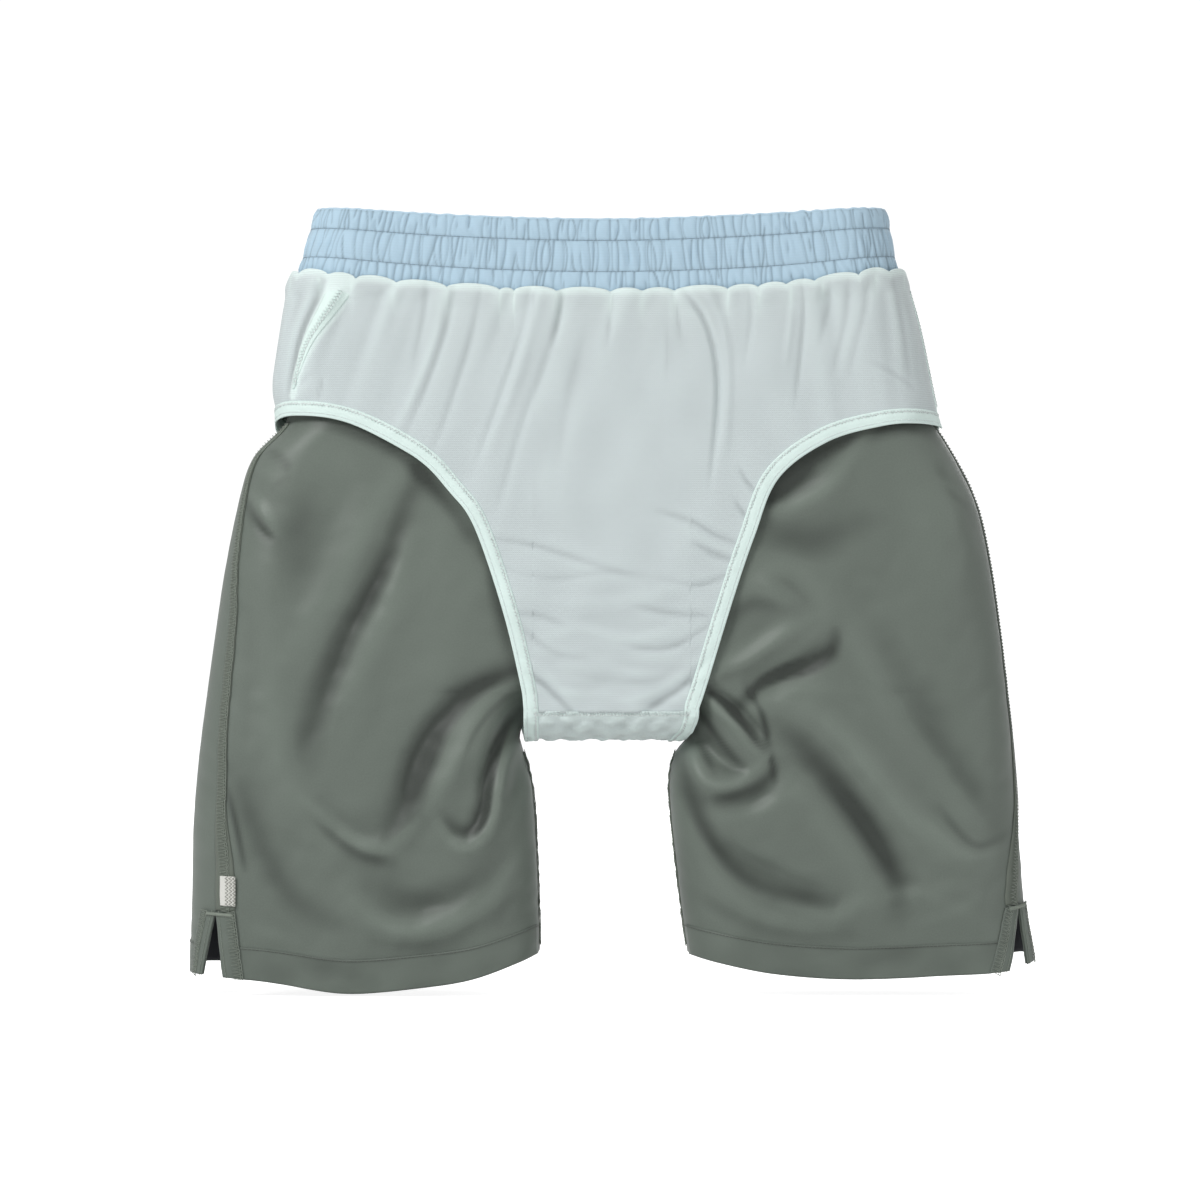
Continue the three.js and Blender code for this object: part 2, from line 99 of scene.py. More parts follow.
FACES = (("front", 1), ("back", -1))


def put(points):
    """Millimetre places as frame metres."""
    return (np.asarray(points, float) - [CENTRE_X, 0, WAIST_H]) * MM


def smooth(pairs):
    """A smooth function through (key, value) pairs, flat beyond both ends."""
    keys, values = np.array(pairs, float).T
    slopes = np.empty_like(values)
    slopes[1:-1] = (values[2:] - values[:-2]) / (keys[2:] - keys[:-2])
    slopes[0] = (values[1] - values[0]) / (keys[1] - keys[0])
    slopes[-1] = (values[-1] - values[-2]) / (keys[-1] - keys[-2])

    def at(key):
        key = np.clip(key, keys[0], keys[-1])
        i = np.clip(np.searchsorted(keys, key, side="right") - 1, 0, len(keys) - 2)
        width = keys[i + 1] - keys[i]
        t = (key - keys[i]) / width
        return (values[i] * (1 + 2 * t) * (1 - t) ** 2 + slopes[i] * width * t * (1 - t) ** 2
                + values[i + 1] * t * t * (3 - 2 * t) + slopes[i + 1] * width * t * t * (t - 1))

    return at


def ease(value, low, high):
    """0 below low, 1 above high, smooth between."""
    t = np.clip((value - low) / (high - low), 0, 1)
    return t * t * (3 - 2 * t)


def spline(points, count):
    """count points evenly spaced along a smooth curve through the given ones."""
    points = np.array(points, float)
    before = 2 * points[0] - points[1]
    after = 2 * points[-1] - points[-2]
    p = np.vstack([before, points, after])
    t = np.linspace(0, len(points) - 1, 40 * len(points))
    i = np.clip(t.astype(int), 0, len(points) - 2)
    u = (t - i)[:, None]
    a, b, c, d = p[i], p[i + 1], p[i + 2], p[i + 3]
    fine = 0.5 * (2 * b + (c - a) * u + (2 * a - 5 * b + 4 * c - d) * u ** 2
                  + (3 * b - 3 * c + d - a) * u ** 3)
    run = np.concatenate([[0], np.cumsum(np.linalg.norm(np.diff(fine, axis=0), axis=1))])
    steps = np.linspace(0, run[-1], count)
    return np.stack([np.interp(steps, run, fine[:, k]) for k in range(fine.shape[1])], -1)


def ripples(u, v, length, seed, waves=14):
    """Smooth unevenness between about -1 and 1, with bumps about length apart."""
    rng = np.random.default_rng(seed)
    total = np.zeros(np.broadcast(u, v).shape)
    for _ in range(waves):
        angle = rng.uniform(0, 2 * math.pi)
        rate = 2 * math.pi / (length * rng.uniform(0.7, 1.6))
        phase = rng.uniform(0, 2 * math.pi)
        total = total + np.sin(rate * (u * math.cos(angle) + v * math.sin(angle)) + phase)
    return total / math.sqrt(waves)


def path_distance(path, x, h):
    """Distance from each (x, h) to an open path, the share along it of the nearest point, and the way
    from there."""
    best = np.full(np.shape(x), 1e9)
    share = np.zeros(np.shape(x))
    way = np.zeros(np.shape(x) + (2,))
    last = len(path) - 1
    for k in range(last):
        a, d = path[k], path[k + 1] - path[k]
        t = np.clip(((x - a[0]) * d[0] + (h - a[1]) * d[1]) / max(d @ d, 1e-9), 0, 1)
        gx, gh = x - a[0] - t * d[0], h - a[1] - t * d[1]
        dist = np.hypot(gx, gh)
        near = dist < best
        best = np.where(near, dist, best)
        share = np.where(near, (k + t) / last, share)
        way = np.where(near[..., None], np.stack([gx, gh], -1), way)
    return best, share, way


# ---------------------------------------------------------------- shape of the shell

class Side:
    """One leg of the shell: its outlines by height, its seam and its slit."""

    def __init__(self, sign, outer, inner, hem, seam, slit):
        self.sign = sign
        self.outer, self.inner = smooth(outer), smooth(inner)
        self.hem, self.seam = smooth(hem), smooth(seam)
        self.slit = slit
        heights = np.concatenate([np.linspace(-30, CROTCH_H, 24),
                                  CROTCH_H + ARCH * np.sin(np.linspace(0.04, math.pi / 2, 30))])
        self.edge = np.stack([self.inner_edge(heights), heights], -1)

    def inner_edge(self, h):
        """Inner leg edge, carried over the crotch arch to the centre line."""
        rise = np.clip((h - CROTCH_H) / ARCH, 0, 1)
        foot = self.inner(CROTCH_H)
        arch = CENTRE_X + (foot - CENTRE_X) * np.sqrt(1 - rise ** 2)
        return np.where(h < CROTCH_H, self.inner(h), arch)

    def inner_way(self, h):
        """Way round from the outline to the inner leg edge."""
        depth = half_depth(h)
        return depth * math.pi / 2 + self.sign * (self.outer(h) - self.sign * depth - self.inner_edge(h))

    def seam_way(self, h, face):
        """Way round to the side seam; below the slit's top its front and back edges part."""
        opening = np.clip(1 - h / SLIT_H, 0, 1)
        angle = self.seam(np.maximum(h, SLIT_H)) * (1 - opening) + self.slit[face] * opening
        return half_depth(h) * (math.pi / 2 - np.radians(angle))


# Half of the shell's depth from front to back, by height.
half_depth = smooth([(0, 36), (160, 38), (300, 38), (446, 33)])
LEFT = Side(
    -1,
    outer=[(0, -269.2), (116, -266.7), (190, -258.7), (263, -248.2), (318, -237), (340, -229), (362, -209.5),
           (393, -210), (446, -201)],
    inner=[(0, -46), (60, -47.5), (125, -51), (160, -59)],
    hem=[(-270, 12), (-223, 8), (-169, 0), (-126, 3), (-88, 9), (-47, 24)],
    seam=[(44, 30), (112, 33), (184, 42), (238, 48), (274, 57), (325, 67), (446, 80)],
    slit={1: 20, -1: 45},
)
RIGHT = Side(
    1,
    outer=[(0, 269.2), (44, 263), (109, 259), (160, 255), (250, 244.5), (298, 236), (321, 228), (340, 218),
           (362, 205), (373, 201), (446, 181)],
    inner=[(0, 48), (54, 42), (98, 38), (129, 36.5), (148, 40), (160, 47.5)],
    hem=[(47, 24), (69, 19), (102, 12.5), (150, 9), (203, 11), (250, 14), (270, 20)],
    seam=[(50, 60), (154, 88), (300, 96), (446, 96)],
    slit={1: 29, -1: 54},
)
SIDES = {"left": LEFT, "right": RIGHT}

# Folds of the shell's front as (points down the fold, height, width): ridges have a height above 0,
# valleys one below.
FRONT_FOLDS = [
    ([(-130, 311), (-149, 264), (-168, 227), (-184, 185), (-196, 148)], -5.5, 10),
    ([(-145, 322), (-172, 264), (-200, 227)], 3.5, 12),
    ([(-124, 300), (-140, 245), (-158, 203), (-172, 171)], 4.0, 11),
    ([(-60, 203), (-93, 190), (-112, 171), (-126, 148), (-137, 115), (-146, 97)], -6.0, 9),
    ([(-146, 97), (-170, 106), (-188, 124)], -3.0, 8),
    ([(-66, 190), (-89, 155), (-107, 129), (-126, 106)], 4.5, 9),
    ([(-126, 104), (-150, 92), (-176, 100)], 2.0, 7),
    ([(-56, 182), (-70, 159), (-79, 134), (-84, 110), (-98, 101)], -6.0, 6),
    ([(-58, 174), (-68, 150), (-73, 130), (-77, 108), (-88, 93), (-106, 98)], 5.0, 6),
    ([(-52, 160), (-58, 136), (-62, 112)], -3.0, 5),
    ([(-75, 73), (-102, 48), (-130, 38), (-154, 45), (-174, 58)], 4.0, 9),
    ([(-64, 92), (-92, 62), (-124, 54), (-150, 62)], -3.5, 9),
    ([(-226, 312), (-221, 302), (-213, 292)], 3.0, 4),
    ([(-229, 304), (-222, 294), (-212, 285)], -2.5, 4),
    ([(-196, 352), (-184, 346), (-168, 338)], -3.5, 6),
    ([(-232, 262), (-229, 200), (-236, 130)], -2.0, 9),
    ([(-214, 170), (-206, 130), (-196, 104)], 2.0, 12),
    ([(148, 343), (139, 322), (118, 308), (97, 301)], 4.0, 8),
    ([(131, 336), (121, 324), (104, 312)], -3.5, 7),
    ([(90, 266), (111, 245), (121, 235)], 3.0, 8),
    ([(96, 292), (124, 284), (150, 296)], -2.5, 12),
    ([(72, 200), (97, 217), (120, 233)], 4.5, 6),
    ([(84, 188), (114, 203), (142, 222)], -6.0, 8),
    ([(58, 196), (72, 186), (88, 170), (96, 152)], -4.5, 4),
    ([(58, 188), (76, 172), (90, 158), (99, 146)], 5.0, 5),
    ([(52, 170), (62, 154), (74, 144), (88, 142)], -5.0, 5),
    ([(50, 158), (54, 140), (65, 131), (80, 133), (92, 140)], 4.5, 5),
    ([(62, 120), (84, 120), (98, 128), (107, 141)], -4.5, 6),
    ([(100, 190), (130, 176), (158, 148), (186, 113), (214, 90), (242, 78)], 5.0, 9),
    ([(146, 222), (181, 176), (216, 137), (242, 108)], -4.5, 10),
    ([(106, 148), (130, 134), (158, 106), (176, 78), (196, 61)], -5.0, 9),
    ([(52, 106), (76, 80), (111, 57), (139, 47), (168, 63)], 3.5, 8),
    ([(47, 126), (70, 95), (106, 73), (148, 58)], -4.5, 7),
    ([(196, 60), (216, 66), (238, 60)], 2.5, 7),
    ([(216, 342), (226, 328), (233, 316)], -3.0, 5),
    ([(204, 330), (216, 300), (232, 270)], 2.5, 9),
]
# Folds of the shell's back, in the same form.
BACK_FOLDS = [
    ([(-64, 200), (-110, 160), (-150, 110)], 5.0, 13),
    ([(-60, 180), (-96, 138), (-124, 84)], -5.0, 11),
    ([(-90, 220), (-150, 190), (-214, 150)], -4.5, 15),
    ([(-180, 300), (-200, 230), (-214, 160)], 4.0, 18),
    ([(-200, 90), (-150, 66), (-90, 60)], 3.5, 12),
    ([(62, 196), (112, 160), (160, 118)], 5.0, 12),
    ([(58, 176), (92, 140), (112, 90)], -5.5, 11),
    ([(88, 224), (146, 196), (212, 168)], -4.0, 15),
    ([(176, 310), (200, 240), (216, 150)], 4.0, 18),
    ([(82, 70), (140, 52), (210, 70)], 3.5, 13),
]

# Sheen of the satin over the front, as (points, tone, width): + catches the light, - turns away from it.
FRONT_SHEEN = [
    ([(-120, 332), (-133, 300), (-143, 270), (-158, 240)], -0.60, 7),
    ([(-146, 262), (-165, 225), (-180, 195), (-190, 168), (-198, 140)], -0.65, 12),
    ([(-128, 345), (-145, 316), (-155, 290), (-165, 265), (-180, 240), (-206, 212)], 0.60, 8),
    ([(-98, 312), (-115, 280), (-128, 255), (-140, 235), (-155, 205), (-166, 165)], 0.55, 13),
    ([(-82, 290), (-92, 262), (-104, 232), (-122, 200)], 0.30, 12),
    ([(-190, 318), (-196, 295), (-202, 262)], -0.40, 13),
    ([(-200, 350), (-176, 338), (-160, 322)], 0.35, 13),
    ([(-200, 366), (-165, 356), (-140, 346), (-118, 326), (-100, 304), (-84, 280)], -1.0, 6),
    ([(-82, 290), (-72, 250), (-62, 206)], -0.70, 5),
    ([(-234, 320), (-226, 313), (-219, 305), (-213, 292)], 0.75, 2.6),
    ([(-236, 312), (-224, 299), (-214, 286)], -0.60, 4.5),
    ([(-226, 345), (-212, 340), (-205, 331), (-214, 320)], -0.45, 3),
    ([(-224, 333), (-212, 327), (-202, 330)], 0.5, 2.5),
    ([(-214, 230), (-216, 190), (-208, 145), (-196, 122), (-178, 100)], 0.50, 9),
    ([(-46, 206), (-62, 202), (-78, 196), (-95, 186), (-108, 170), (-118, 150), (-126, 130)], -1.05, 8),
    ([(-112, 165), (-122, 140), (-130, 115), (-145, 92)], -0.80, 12),
    ([(-196, 124), (-180, 109), (-165, 98), (-150, 92), (-138, 93), (-124, 108)], 0.85, 3.6),
    ([(-192, 114), (-175, 99), (-160, 88), (-140, 82)], -0.75, 4.5),
    ([(-48, 200), (-62, 196), (-80, 184), (-95, 165), (-104, 145), (-114, 116)], 0.75, 5),
    ([(-52, 194), (-66, 188), (-80, 174), (-90, 158), (-98, 134)], -0.50, 3.2),
    ([(-50, 190), (-62, 184), (-76, 168), (-84, 152), (-90, 122)], 0.55, 3.6),
    ([(-44, 182), (-56, 178), (-66, 168), (-72, 155), (-75, 140), (-79, 122), (-84, 104)], -1.45, 4.6),
    ([(-76, 120), (-86, 105), (-96, 102), (-108, 112)], -0.80, 5),
    ([(-50, 182), (-60, 170), (-66, 158), (-70, 145), (-72, 128), (-74, 110), (-80, 97), (-90, 91),
      (-100, 93), (-110, 108)], 1.0, 3),
    ([(-50, 160), (-58, 130), (-66, 100)], 0.35, 5),
    ([(-46, 178), (-56, 168), (-58, 150)], -0.7, 3.5),
    ([(-46, 118), (-56, 92), (-66, 74), (-80, 58), (-97, 47), (-116, 40), (-136, 40), (-152, 49), (-170, 66)],
     0.70, 5),
    ([(-70, 84), (-95, 66), (-125, 60), (-150, 70)], -0.40, 11),
    ([(-54, 66), (-80, 48), (-112, 31), (-150, 34)], -0.30, 6),
    ([(-240, 140), (-226, 105), (-215, 80), (-200, 58), (-176, 44)], -0.50, 8),
    ([(-230, 44), (-212, 37), (-196, 31)], 0.50, 5),
    ([(-243, 128), (-237, 103), (-232, 78)], -0.8, 2.2),
    ([(94, 296), (104, 318), (114, 330), (128, 339), (146, 348), (168, 356), (196, 359), (216, 346)],
     -1.1, 6),
    ([(94, 308), (110, 322), (130, 334)], -0.6, 10),
    ([(166, 362), (152, 342), (140, 325), (124, 312), (96, 303)], 0.75, 4.5),
    ([(96, 290), (130, 288), (168, 302)], -0.40, 11),
    ([(82, 256), (96, 268), (116, 268), (136, 250)], 0.45, 7),
    ([(92, 264), (110, 260), (128, 244)], -0.25, 4),
    ([(70, 234), (90, 246), (116, 242)], -0.45, 5.5),
    ([(58, 200), (82, 215), (105, 229), (130, 240)], 0.65, 4.5),
    ([(60, 196), (80, 204), (104, 218)], -0.40, 4),
    ([(80, 190), (98, 206), (118, 218), (132, 232)], 0.50, 3.2),
    ([(78, 178), (94, 196), (110, 203), (128, 208), (140, 218), (142, 236)], -1.15, 5.5),
    ([(86, 178), (98, 187), (114, 194), (138, 194)], 0.60, 5),
    ([(124, 254), (146, 230), (160, 206), (172, 184), (188, 162), (206, 142), (222, 118), (238, 92)],
     0.62, 8),
    ([(96, 188), (125, 179), (142, 168), (158, 150), (172, 130), (190, 110), (208, 91), (236, 80)],
     0.62, 9),
    ([(248, 90), (236, 87), (224, 87), (211, 96), (196, 112)], 0.70, 2.8),
    ([(252, 100), (234, 93), (222, 98), (208, 116)], -0.55, 3.2),
    ([(168, 226), (190, 188), (206, 160), (222, 135), (236, 108)], -0.50, 12),
    ([(104, 170), (124, 152), (140, 135), (155, 115), (168, 95), (178, 74), (182, 50)], -0.95, 9),
    ([(104, 150), (122, 124), (137, 102), (152, 82), (160, 58)], 0.42, 8),
    ([(50, 200), (62, 190), (71, 183), (82, 170), (90, 159), (99, 148)], -1.25, 3),
    ([(52, 190), (66, 179), (78, 166), (88, 155), (98, 150), (100, 160)], 0.8, 2.6),
    ([(48, 184), (60, 171), (70, 157), (82, 143)], -1.05, 3.2),
    ([(46, 178), (54, 168), (58, 156), (66, 148), (82, 142)], 0.6, 2.6),
    ([(46, 178), (53, 166), (57, 156), (64, 140)], -1.0, 3),
    ([(48, 176), (50, 156), (54, 141), (62, 132), (75, 131), (88, 140), (100, 152)], 0.85, 2.8),
    ([(84, 194), (93, 180), (98, 162), (103, 134)], -0.95, 2.6),
    ([(106, 146), (96, 134), (80, 126), (60, 122)], -0.80, 4.5),
    ([(60, 110), (84, 114), (102, 121), (124, 134)], 0.40, 4),
    ([(38, 160), (50, 122), (58, 102), (70, 85), (86, 72), (106, 63), (140, 56)], -1.05, 6),
    ([(42, 118), (58, 84), (74, 64), (94, 51), (116, 45), (136, 45), (152, 55), (170, 72)], 0.62, 6),
    ([(54, 62), (84, 47), (114, 38), (150, 38)], -0.30, 6),
    ([(160, 58), (188, 64), (210, 58), (232, 48)], 0.35, 5),
    ([(190, 44), (214, 51), (240, 66)], 0.40, 4),
    ([(188, 345), (196, 310), (206, 280), (230, 262)], 0.30, 17),
    ([(206, 334), (214, 319), (226, 307)], -0.45, 4),
    ([(208, 325), (224, 313)], 0.40, 2.8),
]


def fold_field(folds, x, h, ends=0.7):
    """Sum of the folds at each (x, h); each fades out to its ends, later where ends is smaller."""
    total = np.zeros(np.shape(x))
    for points, height, width in folds:
        dist, share, _ = path_distance(spline(points, 14), x, h)
        taper = np.sin(math.pi * np.clip(share, 0.02, 0.98)) ** ends
        total += height * np.exp(-(dist / width) ** 2) * taper
    return total


def shell_base(side, h, s):
    """Place and outward direction on the smooth shell. s is the way round from the outline,
    + over the front and - over the back."""
    depth = half_depth(h)
    centre = side.outer(h) - side.sign * depth
    quarter = depth * math.pi / 2
    way = np.abs(s)
    face = np.where(s >= 0, -1.0, 1.0)
    angle = np.clip(way / depth, 0, math.pi / 2)
    zero = np.zeros(np.shape(angle))
    round_out = np.stack([side.sign * np.cos(angle), face * np.sin(angle), zero], -1)
    round_at = np.stack([centre + zero, zero, h + zero], -1) + depth[..., None] * round_out
    x = centre - side.sign * (way - quarter)
    dist, _, gap = path_distance(side.edge, x, h + zero)
    length = np.maximum(np.linalg.norm(gap, axis=-1), 1e-6)
    cos = 1 - np.clip(dist / CROTCH_ROUND, 0, 1)
    sin = np.sqrt(1 - cos ** 2)
    flat_out = np.stack([-gap[..., 0] / length * cos, face * sin, -gap[..., 1] / length * cos], -1)
    flat_at = np.stack([x, face * depth * sin, h + zero], -1)
    flat = (way > quarter)[..., None]
    return np.where(flat, flat_at, round_at), np.where(flat, flat_out, round_out)


def shell_skin(side, h, s, lift=0.0):
    """Place on the folded shell, lift outwards from its outer face."""
    h, s = np.broadcast_arrays(np.asarray(h, float), np.asarray(s, float))
    at, out = shell_base(side, h, s)
    x, y = at[..., 0], at[..., 1]
    front = np.clip(-out[..., 1], 0, 1) ** 0.6
    back = np.clip(out[..., 1], 0, 1) ** 0.6
    covered = ease(h, 300, 352) * 0.85
    hang = np.clip(1 - h / CROTCH_H, 0, 1)
    height = h + hang * side.hem(x)
    push = front * fold_field(FRONT_FOLDS, x, height) + back * fold_field(BACK_FOLDS, x, height)
    push += (front + back) * (0.8 * ripples(x + 0.4 * y, h, 58, 4) + 0.25 * ripples(x, h - 0.5 * y, 21, 5))
    push *= 1 - covered
    push -= 1.2 * ease(h, 352, 366)
    hem_wave = (1 - ease(h, 4, 60)) * ripples(x + y, h * 0.3, 46, 8)
    push += 0.8 * hem_wave * (front + back)
    drop = hang * (side.hem(x) + BACK_LIFT * ease(y, -10, 25))
    top = np.clip((h - 425) / 15, 0, 1) * (band_edge(x) - 11 - BACK_DIP * ease(y, -10, 30) - 440)
    moved = at + out * (push + lift)[..., None]
    moved[..., 2] += drop + top
    return moved


# ---------------------------------------------------------------- shape of the liner and the band

# Heights of the band's foot, where the shell and the liner meet it, and of its top, by x.
band_edge = smooth([(-203, 458.5), (-110, 449.5), (CENTRE_X, 446), (100, 449.5), (185, 459)])
band_top = smooth([(-193, 497), (-100, 491), (-8, 488.5), (80, 491), (177, 497)])
# Outer edges of the liner by height, left and right.
LINER_OUTLINE = {
    -1: smooth([(300, -244), (318, -240), (340, -232.5), (360, -215), (382, -216.5), (393, -216),
                (446, -207.5), (458, -203)]),
    1: smooth([(300, 239), (321, 231.5), (340, 222), (360, 209), (373, 206), (422, 196), (459, 185.5)]),
}


def liner_reach(sign, h):
    """Half depth, flat width and way to the outline of one side of the liner."""
    depth = half_depth(h) + LINER_OUT
    outer = np.where(sign < 0, LINER_OUTLINE[-1](h), LINER_OUTLINE[1](h))
    flat = np.abs(outer - sign * depth - CENTRE_X)
    return depth, flat, flat + depth * math.pi / 2


def liner_base(q, h, face):
    """Place and outward direction on the smooth liner. q is the way round from centre front or back."""
    sign = np.where(q < 0, -1.0, 1.0)
    depth, flat, _ = liner_reach(sign, h)
    angle = np.clip((np.abs(q) - flat) / depth, 0, 2.2)
    out = np.stack([sign * np.sin(angle), -face * np.cos(angle), np.zeros(np.shape(angle))], -1)
    x = CENTRE_X + sign * np.minimum(np.abs(q), flat)
    at = np.stack([x + depth * out[..., 0], depth * out[..., 1], h + 0 * q], -1)
    return at, out


# Creases and folds of the liner, in the same form as the shell's.
LINER_FOLDS = [
    ([(-180, 458), (-186, 444), (-191, 434), (-197, 423), (-202, 410), (-206, 392), (-208, 376)], -3.6, 3.6),
    ([(-158, 458), (-176, 436), (-186, 422), (-194, 408), (-200, 394)], 1.6, 6),
    ([(-116, 456), (-119, 430), (-126, 396)], -1.0, 2.2),
    ([(-98, 458), (-104, 424), (-117, 385), (-132, 350)], -1.2, 2.4),
    ([(-104, 456), (-111, 418), (-125, 380), (-140, 350)], 1.0, 3.2),
    ([(-80, 456), (-90, 412), (-103, 370), (-116, 336)], -1.0, 2.6),
    ([(-50, 456), (-55, 426), (-68, 385), (-88, 330)], -1.2, 2.6),
    ([(-44, 456), (-51, 420), (-63, 380), (-80, 338)], 1.0, 3.6),
    ([(-30, 458), (-32, 440), (-34, 426), (-38, 410)], -1.8, 1.8),
    ([(-27, 446), (-42, 400), (-58, 355), (-74, 300)], -0.9, 3),
    ([(-10, 450), (-22, 400), (-32, 350), (-38, 310)], -0.6, 4),
    ([(2, 458), (0, 436), (-4, 404)], -1.0, 2),
    ([(36, 458), (40, 436), (44, 410)], -1.0, 2),
    ([(38, 456), (48, 440), (58, 426), (65, 405), (67, 380), (65, 350), (62, 320)], -2.4, 2.2),
    ([(56, 452), (68, 428), (73, 400), (73, 370), (70, 335)], 1.3, 3),
    ([(84, 456), (88, 430), (84, 395)], -0.8, 2.4),
    ([(119, 458), (121, 432), (119, 405), (115, 370)], -1.2, 1.8),
    ([(112, 456), (113, 430), (109, 392)], 0.9, 2.2),
    ([(138, 456), (136, 432), (130, 404)], -0.8, 2.2),
    ([(150, 456), (147, 424), (139, 390)], -0.9, 2.4),
    ([(164, 458), (158, 425), (148, 385)], -0.8, 2.6),
    ([(178, 460), (186, 420), (190, 384)], -0.8, 3),
    ([(196, 380), (178, 392), (164, 398)], -0.7, 2.4),
    ([(-204, 378), (-196, 386), (-190, 392)], -0.8, 1.6),
    ([(-186, 374), (-184, 384), (-184, 390)], -0.7, 1.5),
    ([(94, 314), (86, 322), (80, 332)], -1.0, 1.8),
    ([(92, 294), (84, 302), (77, 312)], -1.0, 1.8),
    ([(24, 306), (50, 298), (66, 289), (86, 282)], -1.1, 2.4),
    ([(48, 286), (66, 277), (84, 272)], -1.1, 1.8),
    ([(30, 262), (56, 258), (80, 268)], -0.8, 2.4),
    ([(-84, 288), (-50, 283), (-12, 271), (18, 262)], -0.9, 2.4),
    ([(-76, 270), (-40, 262), (0, 266), (30, 262)], -0.6, 2.6),
    ([(-70, 252), (-20, 246), (20, 250), (66, 266)], 0.9, 6),
    ([(10, 246), (38, 240), (70, 238)], -0.9, 2.2),
    ([(-64, 240), (-44, 238), (-26, 230)], -0.7, 2.2),
    ([(0, 222), (35, 218), (70, 238)], -1.0, 2.2),
    ([(-58, 232), (-38, 216), (-12, 211)], -0.8, 2.4),
    ([(-52, 222), (-20, 230), (10, 222), (40, 229), (66, 222)], 0.8, 4.5),
    ([(-58, 206), (-40, 192), (-20, 172)], -1.8, 2.4),
    ([(66, 216), (46, 195), (30, 184), (12, 172)], -1.9, 2.6),
    ([(-34, 204), (8, 196), (50, 204)], -0.7, 3),
    ([(-50, 212), (-28, 190), (0, 183), (32, 193), (60, 218)], 0.8, 3.4),
]


def scallop_rise(q, face):
    """0 where the liner's upper edge is drawn in by a gather, 1 on the crown of each scallop between."""
    rng = np.random.default_rng(44 + face)
    widths = rng.choice([9.0, 13.0, 20.0, 27.0, 34.0], 60)
    ends = np.cumsum(widths) - widths.sum() / 2
    i = np.clip(np.searchsorted(ends, q), 1, len(ends) - 1)
    share = np.clip((q - ends[i - 1]) / (ends[i] - ends[i - 1]), 0, 1)
    return np.sin(math.pi * share) ** 0.45 * (0.55 + 0.45 * ease(ends[i] - ends[i - 1], 9, 27))


def liner_push(q, h, face):
    """How far the liner stands off its smooth shape: gathers below the band, wrinkles and folds."""
    below = np.clip(450 - h, 0, 400)
    reach = 58 + 26 * ripples(q, 0 * h, 60, 20 + face)
    lean = q + np.where(q < 40, 0.36, -0.10) * below
    gather = ripples(lean, 0.04 * h, 13, 21 + face, waves=18)
    long_gather = ripples(lean, 0.03 * h, 30, 23 + face, waves=12)
    push = 0.7 * gather * np.exp(-below / np.clip(reach * 0.6, 14, 80)) * ease(below, 2, 10)
    push += 0.8 * long_gather * np.exp(-below / np.clip(reach * 1.7, 50, 170)) * ease(below, 0, 10)
    push -= 1.3 * (1 - scallop_rise(q, face)) * np.exp(-below / 16)
    folds = fold_field(LINER_FOLDS, q + CENTRE_X, h)
    low = ripples(q * 0.35, h, 9, 25 + face) * (1 - ease(h, 175, 250))
    return push + folds + 0.35 * low + 0.5 * ripples(q, h, 44, 26 + face)


def liner_skin(q, h, face, lift=0.0):
    """Place on the wrinkled liner, lift outwards from its outer face."""
    q, h = np.broadcast_arrays(np.asarray(q, float), np.asarray(h, float))
    at, out = liner_base(q, h, face)
    steady = 1 - ease(np.abs(out[..., 0]), 0.75, 0.98)
    push = np.maximum(liner_push(q, h, face) * (0.25 + 0.75 * steady), -2.6)
    return at + out * (push + 0.6 + lift)[..., None]


# Leg opening edges as (way from the centre, height), by leg and face; front is 1, back is -1.
BACK_OPENING = [(54, 180), (66, 195), (96, 236), (128, 284), (158, 322), (190, 346), (226, 361)]
OPENING = {
    ("left", 1): [(50, 180), (52, 195), (63, 241), (81, 294), (96, 316), (118, 339), (160, 360), (195, 365),
                  (226, 361)],
    ("right", 1): [(61, 180), (66, 195), (80, 241), (95, 287), (110, 325), (140, 348), (175, 358), (200, 360),
                   (235, 358)],
    ("left", -1): BACK_OPENING,
    ("right", -1): BACK_OPENING,
}
OPENING_END = 361.0  # height of the openings at the outline
GUSSET_TOP, GUSSET_LOW = 178.0, 159.0
GUSSET_BEND = 30.0  # mm of cloth for each radian that the gusset turns under the crotch


def follow_outline(q, widen):
    """Ways stretched by the share widen where they near the outline."""
    return q * (1 + widen * ease(np.abs(q), 80, 226))


def opening_edge(name, face, inset, count):
    """Points (way round, height) of one leg opening edge, set in from it by inset."""
    side = SIDES[name]
    pairs = np.array(OPENING[name, face], float)
    end = liner_reach(side.sign, OPENING_END)[2]
    share = np.clip((pairs[:, 0] - 150) / (pairs[-1, 0] - 150), 0, 1)
    pairs[:, 0] *= 1 + share * (end / pairs[-1, 0] - 1)
    pairs[:, 0] *= side.sign
    p = spline(pairs, count)
    t = np.gradient(p, axis=0)
    t /= np.linalg.norm(t, axis=1)[:, None]
    t[0] = np.array([side.sign * 0.1, 0.995])
    t[-1] = [side.sign, 0]
    out = p + side.sign * inset * np.stack([-t[:, 1], t[:, 0]], -1)
    narrow = liner_reach(side.sign, out[:, 1])[2] / end - 1
    out[:, 0] = follow_outline(out[:, 0], narrow)
    return out


def gusset_half(name, turn):
    """Half width of the gusset on one side, narrowest under the crotch. turn goes from 0 at the front to
    pi at the back."""
    low = 50 if name == "left" else 51
    high = np.where(turn > math.pi / 2, OPENING[name, -1][0][0], OPENING[name, 1][0][0])
    return low + (high - low) * np.abs(np.cos(turn)) ** 1.5


